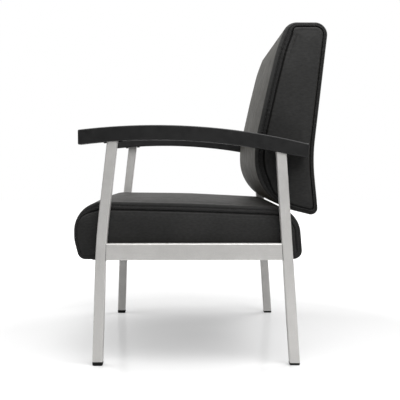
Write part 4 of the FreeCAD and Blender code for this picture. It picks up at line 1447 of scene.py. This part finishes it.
@dataclass
class HardParts:
    """The legs, rails, arms, glides and fixings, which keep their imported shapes, and the rails' welds."""

    rack: FinishRack
    rails: tuple[str, str] = ("left_side_rail", "right_side_rail")
    front_lean: float = 1.97
    rear_lean: float = 3.93
    ripple_pitch: float = 2.1
    ripple_length: float = 4.0
    ripple_radius: float = 1.45
    ripple_seed: int = 5

    def dress(self) -> list[str]:
        """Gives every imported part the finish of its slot.

        Returns:
            The names of the parts.
        """
        for name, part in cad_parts.items():
            slot = Slot(part.data.materials[0].name.split(".")[0])
            dress(part, self.rack.rail_coat if name in self.rails else self.rack.by_slot[slot])
        return sorted(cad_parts)

    def weld_line(self, rail: str, end: int) -> np.ndarray:
        """Gives the line round one end of a side rail, on the leg that it meets.

        Args:
            rail: The rail's node.
            end: -1 for the front end, 1 for the rear end.

        Returns:
            The line's corners, in millimetres.
        """
        low, high = (np.array(corner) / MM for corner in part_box(rail))
        lean = math.tan(math.radians(self.front_lean if end < 0 else self.rear_lean))
        foot = low[1] if end < 0 else high[1]
        ring = [(low[0], low[2]), (high[0], low[2]), (high[0], high[2]), (low[0], high[2])]
        return np.array([(x, foot - end * (z - low[2]) * lean, z) for x, z in ring])

    def weld(self) -> bpy.types.Object:
        """Lays weld ripples round both ends of both side rails, in a darker coat that paints shade into the
        joints.

        Returns:
            The ripples, as one piece.
        """
        lines = [self.weld_line(rail, end) for rail in self.rails for end in (-1, 1)]
        ripples = GrainRow(self.ripple_pitch, self.ripple_length, self.ripple_radius, self.ripple_seed)
        piece = ripples.lay("shaded_rail_welds", lines, self.rack.weld)
        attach(piece, BODY)
        return piece


@dataclass(frozen=True)
class SoftBox:
    """One square soft box: where it hangs, in metres, and its power in watts."""

    name: str
    place: Triple
    power: float


@dataclass
class Studio:
    """A pale floor, soft lamps, a white surround and the camera that took the side view."""

    floor_half: float = 9.0
    floor_drop: float = 0.0004
    floor_colour: Triple = grey(0.655)
    floor_gloss: float = 0.13
    floor_rough: float = 0.16
    near_glow: float = 0.315
    near_reaches: tuple[float, float] = (0.115, 1.276)
    far_lift: float = 1.0
    far_reaches: tuple[float, float] = (0.7, 2.4)
    mirrored_lift: float = 0.4
    surround_light: float = 0.18
    flag_place: float = 3.5
    flag_half: float = 2.4
    flag_height: float = 1.3
    flag_colour: Triple = grey(0.13)
    boxes: tuple[SoftBox, ...] = (
        SoftBox("key_box", (1.15, 0.65, 1.9), 37.0),
        SoftBox("front_box", (-0.4, -1.7, 2.3), 28.0),
        SoftBox("rear_box", (-1.2, 1.6, 2.3), 38.0),
        SoftBox("top_box", (0.4, -0.3, 2.6), 42.0),
    )
    lamp_size: float = 1.6
    lamp_target: Triple = (0.0, 0.0, 0.5)
    lens: float = 72.0
    sensor: float = 36.0
    eye: Triple = (2560.0, -29.8, 552.7)
    aim_across: float = 10.0
    aim_down: float = 37.0
    pixel_focus: float = 800.0

    @staticmethod
    def seen(sheet: NodeSheet, mirrored: float = 1.0) -> Socket:
        """Says which rays show the background itself, straight, mirrored or through glass.

        Args:
            sheet: The node tree.
            mirrored: What a mirrored ray counts for.

        Returns:
            The value socket, 1 for rays that do and 0 for rays that only carry light.
        """
        path = sheet.add("ShaderNodeLightPath").outputs
        glossy = sheet.sums("MULTIPLY", path["Is Glossy Ray"], mirrored)
        either = sheet.sums("MAXIMUM", path["Is Camera Ray"], glossy)
        return sheet.sums("MAXIMUM", either, path["Is Transmission Ray"])

    def surround(self) -> None:
        """Makes the world white to look at and softer as a light."""
        world = bpy.data.worlds.new("studio_surround")
        world.use_nodes = True
        sheet = NodeSheet(world.node_tree)
        glow = sheet.add("ShaderNodeBackground", {"Color": WHITE, "Strength": self.surround_light})
        white = sheet.add("ShaderNodeBackground", {"Color": WHITE, "Strength": 1.0})
        mixed = sheet.layer(self.seen(sheet), glow, white)
        sheet.add("ShaderNodeOutputWorld", {"Surface": mixed.outputs[0]})
        bpy.context.scene.world = world

    def floor_paint(self) -> bpy.types.Material:
        """Makes the floor's satin paint with a glow for seen and mirrored rays, which fades to white away
        from the chair and is clear from below. The glow is painted light, strongest right under the chair,
        where it lightens the floor and the chair's shadow.

        Returns:
            The material.
        """
        sheet = MaterialSheet("pale_floor")
        paint = sheet.add("ShaderNodeBsdfDiffuse", {"Color": (*self.floor_colour, 1.0)})
        gloss = sheet.add("ShaderNodeBsdfGlossy", {"Roughness": self.floor_rough})
        satin = sheet.layer(self.floor_gloss, paint, gloss)
        away = sheet.add("ShaderNodeVectorMath", {0: sheet.place()}, operation="LENGTH").outputs["Value"]
        # Painted light: the glow is strongest under the chair, lightening its cast shadow, then rises again
        # to plain white far away.
        falling = sheet.ramp(away, self.near_reaches, (self.near_glow, 0.0))
        rising = sheet.ramp(away, self.far_reaches, (0.0, self.far_lift))
        fade = sheet.sums("ADD", falling, rising)
        strength = sheet.sums("MULTIPLY", self.seen(sheet, self.mirrored_lift), fade)
        floor_glow = sheet.add("ShaderNodeEmission", {"Color": WHITE, "Strength": strength})
        lit = sheet.add("ShaderNodeAddShader", {0: satin.outputs[0], 1: floor_glow.outputs[0]})
        below = sheet.add("ShaderNodeNewGeometry").outputs["Backfacing"]
        clear = sheet.add("ShaderNodeBsdfTransparent")
        return sheet.finish(sheet.layer(below, lit, clear).outputs[0])

    def floor(self) -> None:
        """Lays the floor."""
        half = self.floor_half / MM
        level = -self.floor_drop / MM
        corners = [(-half, -half, level), (half, -half, level), (half, half, level), (-half, half, level)]
        floor = mesh_piece("studio_floor", np.array(corners), [(0, 1, 2, 3)])
        dress(floor, self.floor_paint())

    def flags(self) -> None:
        """Stands three grey cards round the camera's side, which only mirrored and soft light sees."""
        near = self.flag_place
        side = self.flag_half
        sheet = MaterialSheet("flag_cloth")
        paint = sheet.add("ShaderNodeBsdfDiffuse", {"Color": (*self.flag_colour, 1.0)})
        cloth = sheet.finish(paint.outputs[0])
        feet = {
            "near_flag": ((near, -side), (near, side)),
            "front_flag": ((-side, -side), (near, -side)),
            "rear_flag": ((near, side), (-side, side)),
        }
        for name, ends in feet.items():
            low = [(x / MM, y / MM, 0.0) for x, y in ends]
            high = [(x / MM, y / MM, self.flag_height / MM) for x, y in reversed(ends)]
            card = mesh_piece(name, np.array(low + high), [(0, 1, 2, 3)])
            dress(card, cloth)
            card.visible_camera = False

    def lamps(self) -> None:
        """Hangs the soft boxes, all facing the chair."""
        for box in self.boxes:
            light = bpy.data.lights.new(box.name, "AREA")
            light.size = self.lamp_size
            light.energy = box.power
            holder = bpy.data.objects.new(box.name, light)
            holder.location = box.place
            facing = Vector(self.lamp_target) - holder.location
            holder.rotation_euler = facing.to_track_quat("-Z", "Y").to_euler()
            holder.visible_camera = False
            bpy.context.scene.collection.objects.link(holder)

    def camera(self) -> None:
        """Sets the camera where the photograph was taken from."""
        data = bpy.data.cameras.new("side_camera")
        data.lens = self.lens
        data.sensor_width = self.sensor
        camera = bpy.data.objects.new("side_camera", data)
        camera.location = Vector(self.eye) * MM
        yaw = math.atan(self.aim_across / self.pixel_focus)
        pitch = math.atan(self.aim_down / self.pixel_focus)
        ahead = Vector(
            (-math.cos(yaw) * math.cos(pitch), math.sin(yaw) * math.cos(pitch), -math.sin(pitch))
        )
        camera.rotation_euler = ahead.to_track_quat("-Z", "Y").to_euler()
        bpy.context.scene.collection.objects.link(camera)
        bpy.context.scene.camera = camera

    def build(self) -> None:
        """Sets up the whole studio."""
        bpy.context.scene.view_settings.view_transform = "Standard"
        self.camera()
        self.surround()
        self.floor()
        self.flags()
        self.lamps()


def main() -> None:
    """Builds the chair's sub-assemblies in order and reports each piece."""
    logging.basicConfig(level=logging.INFO, format="%(message)s")
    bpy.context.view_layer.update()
    Studio().build()
    rack = FinishRack()
    hard = HardParts(rack)
    for name in hard.dress():
        LOG.info("dressed %s", name)
    LOG.info("made %s", hard.weld().name)
    for cushion in (SeatCushion.on_frame(), BackCushion.on_frame()):
        for piece in cushion.build(rack):
            LOG.info("made %s with %d faces", piece.name, len(piece.data.polygons))


if __name__ == "__main__":
    main()
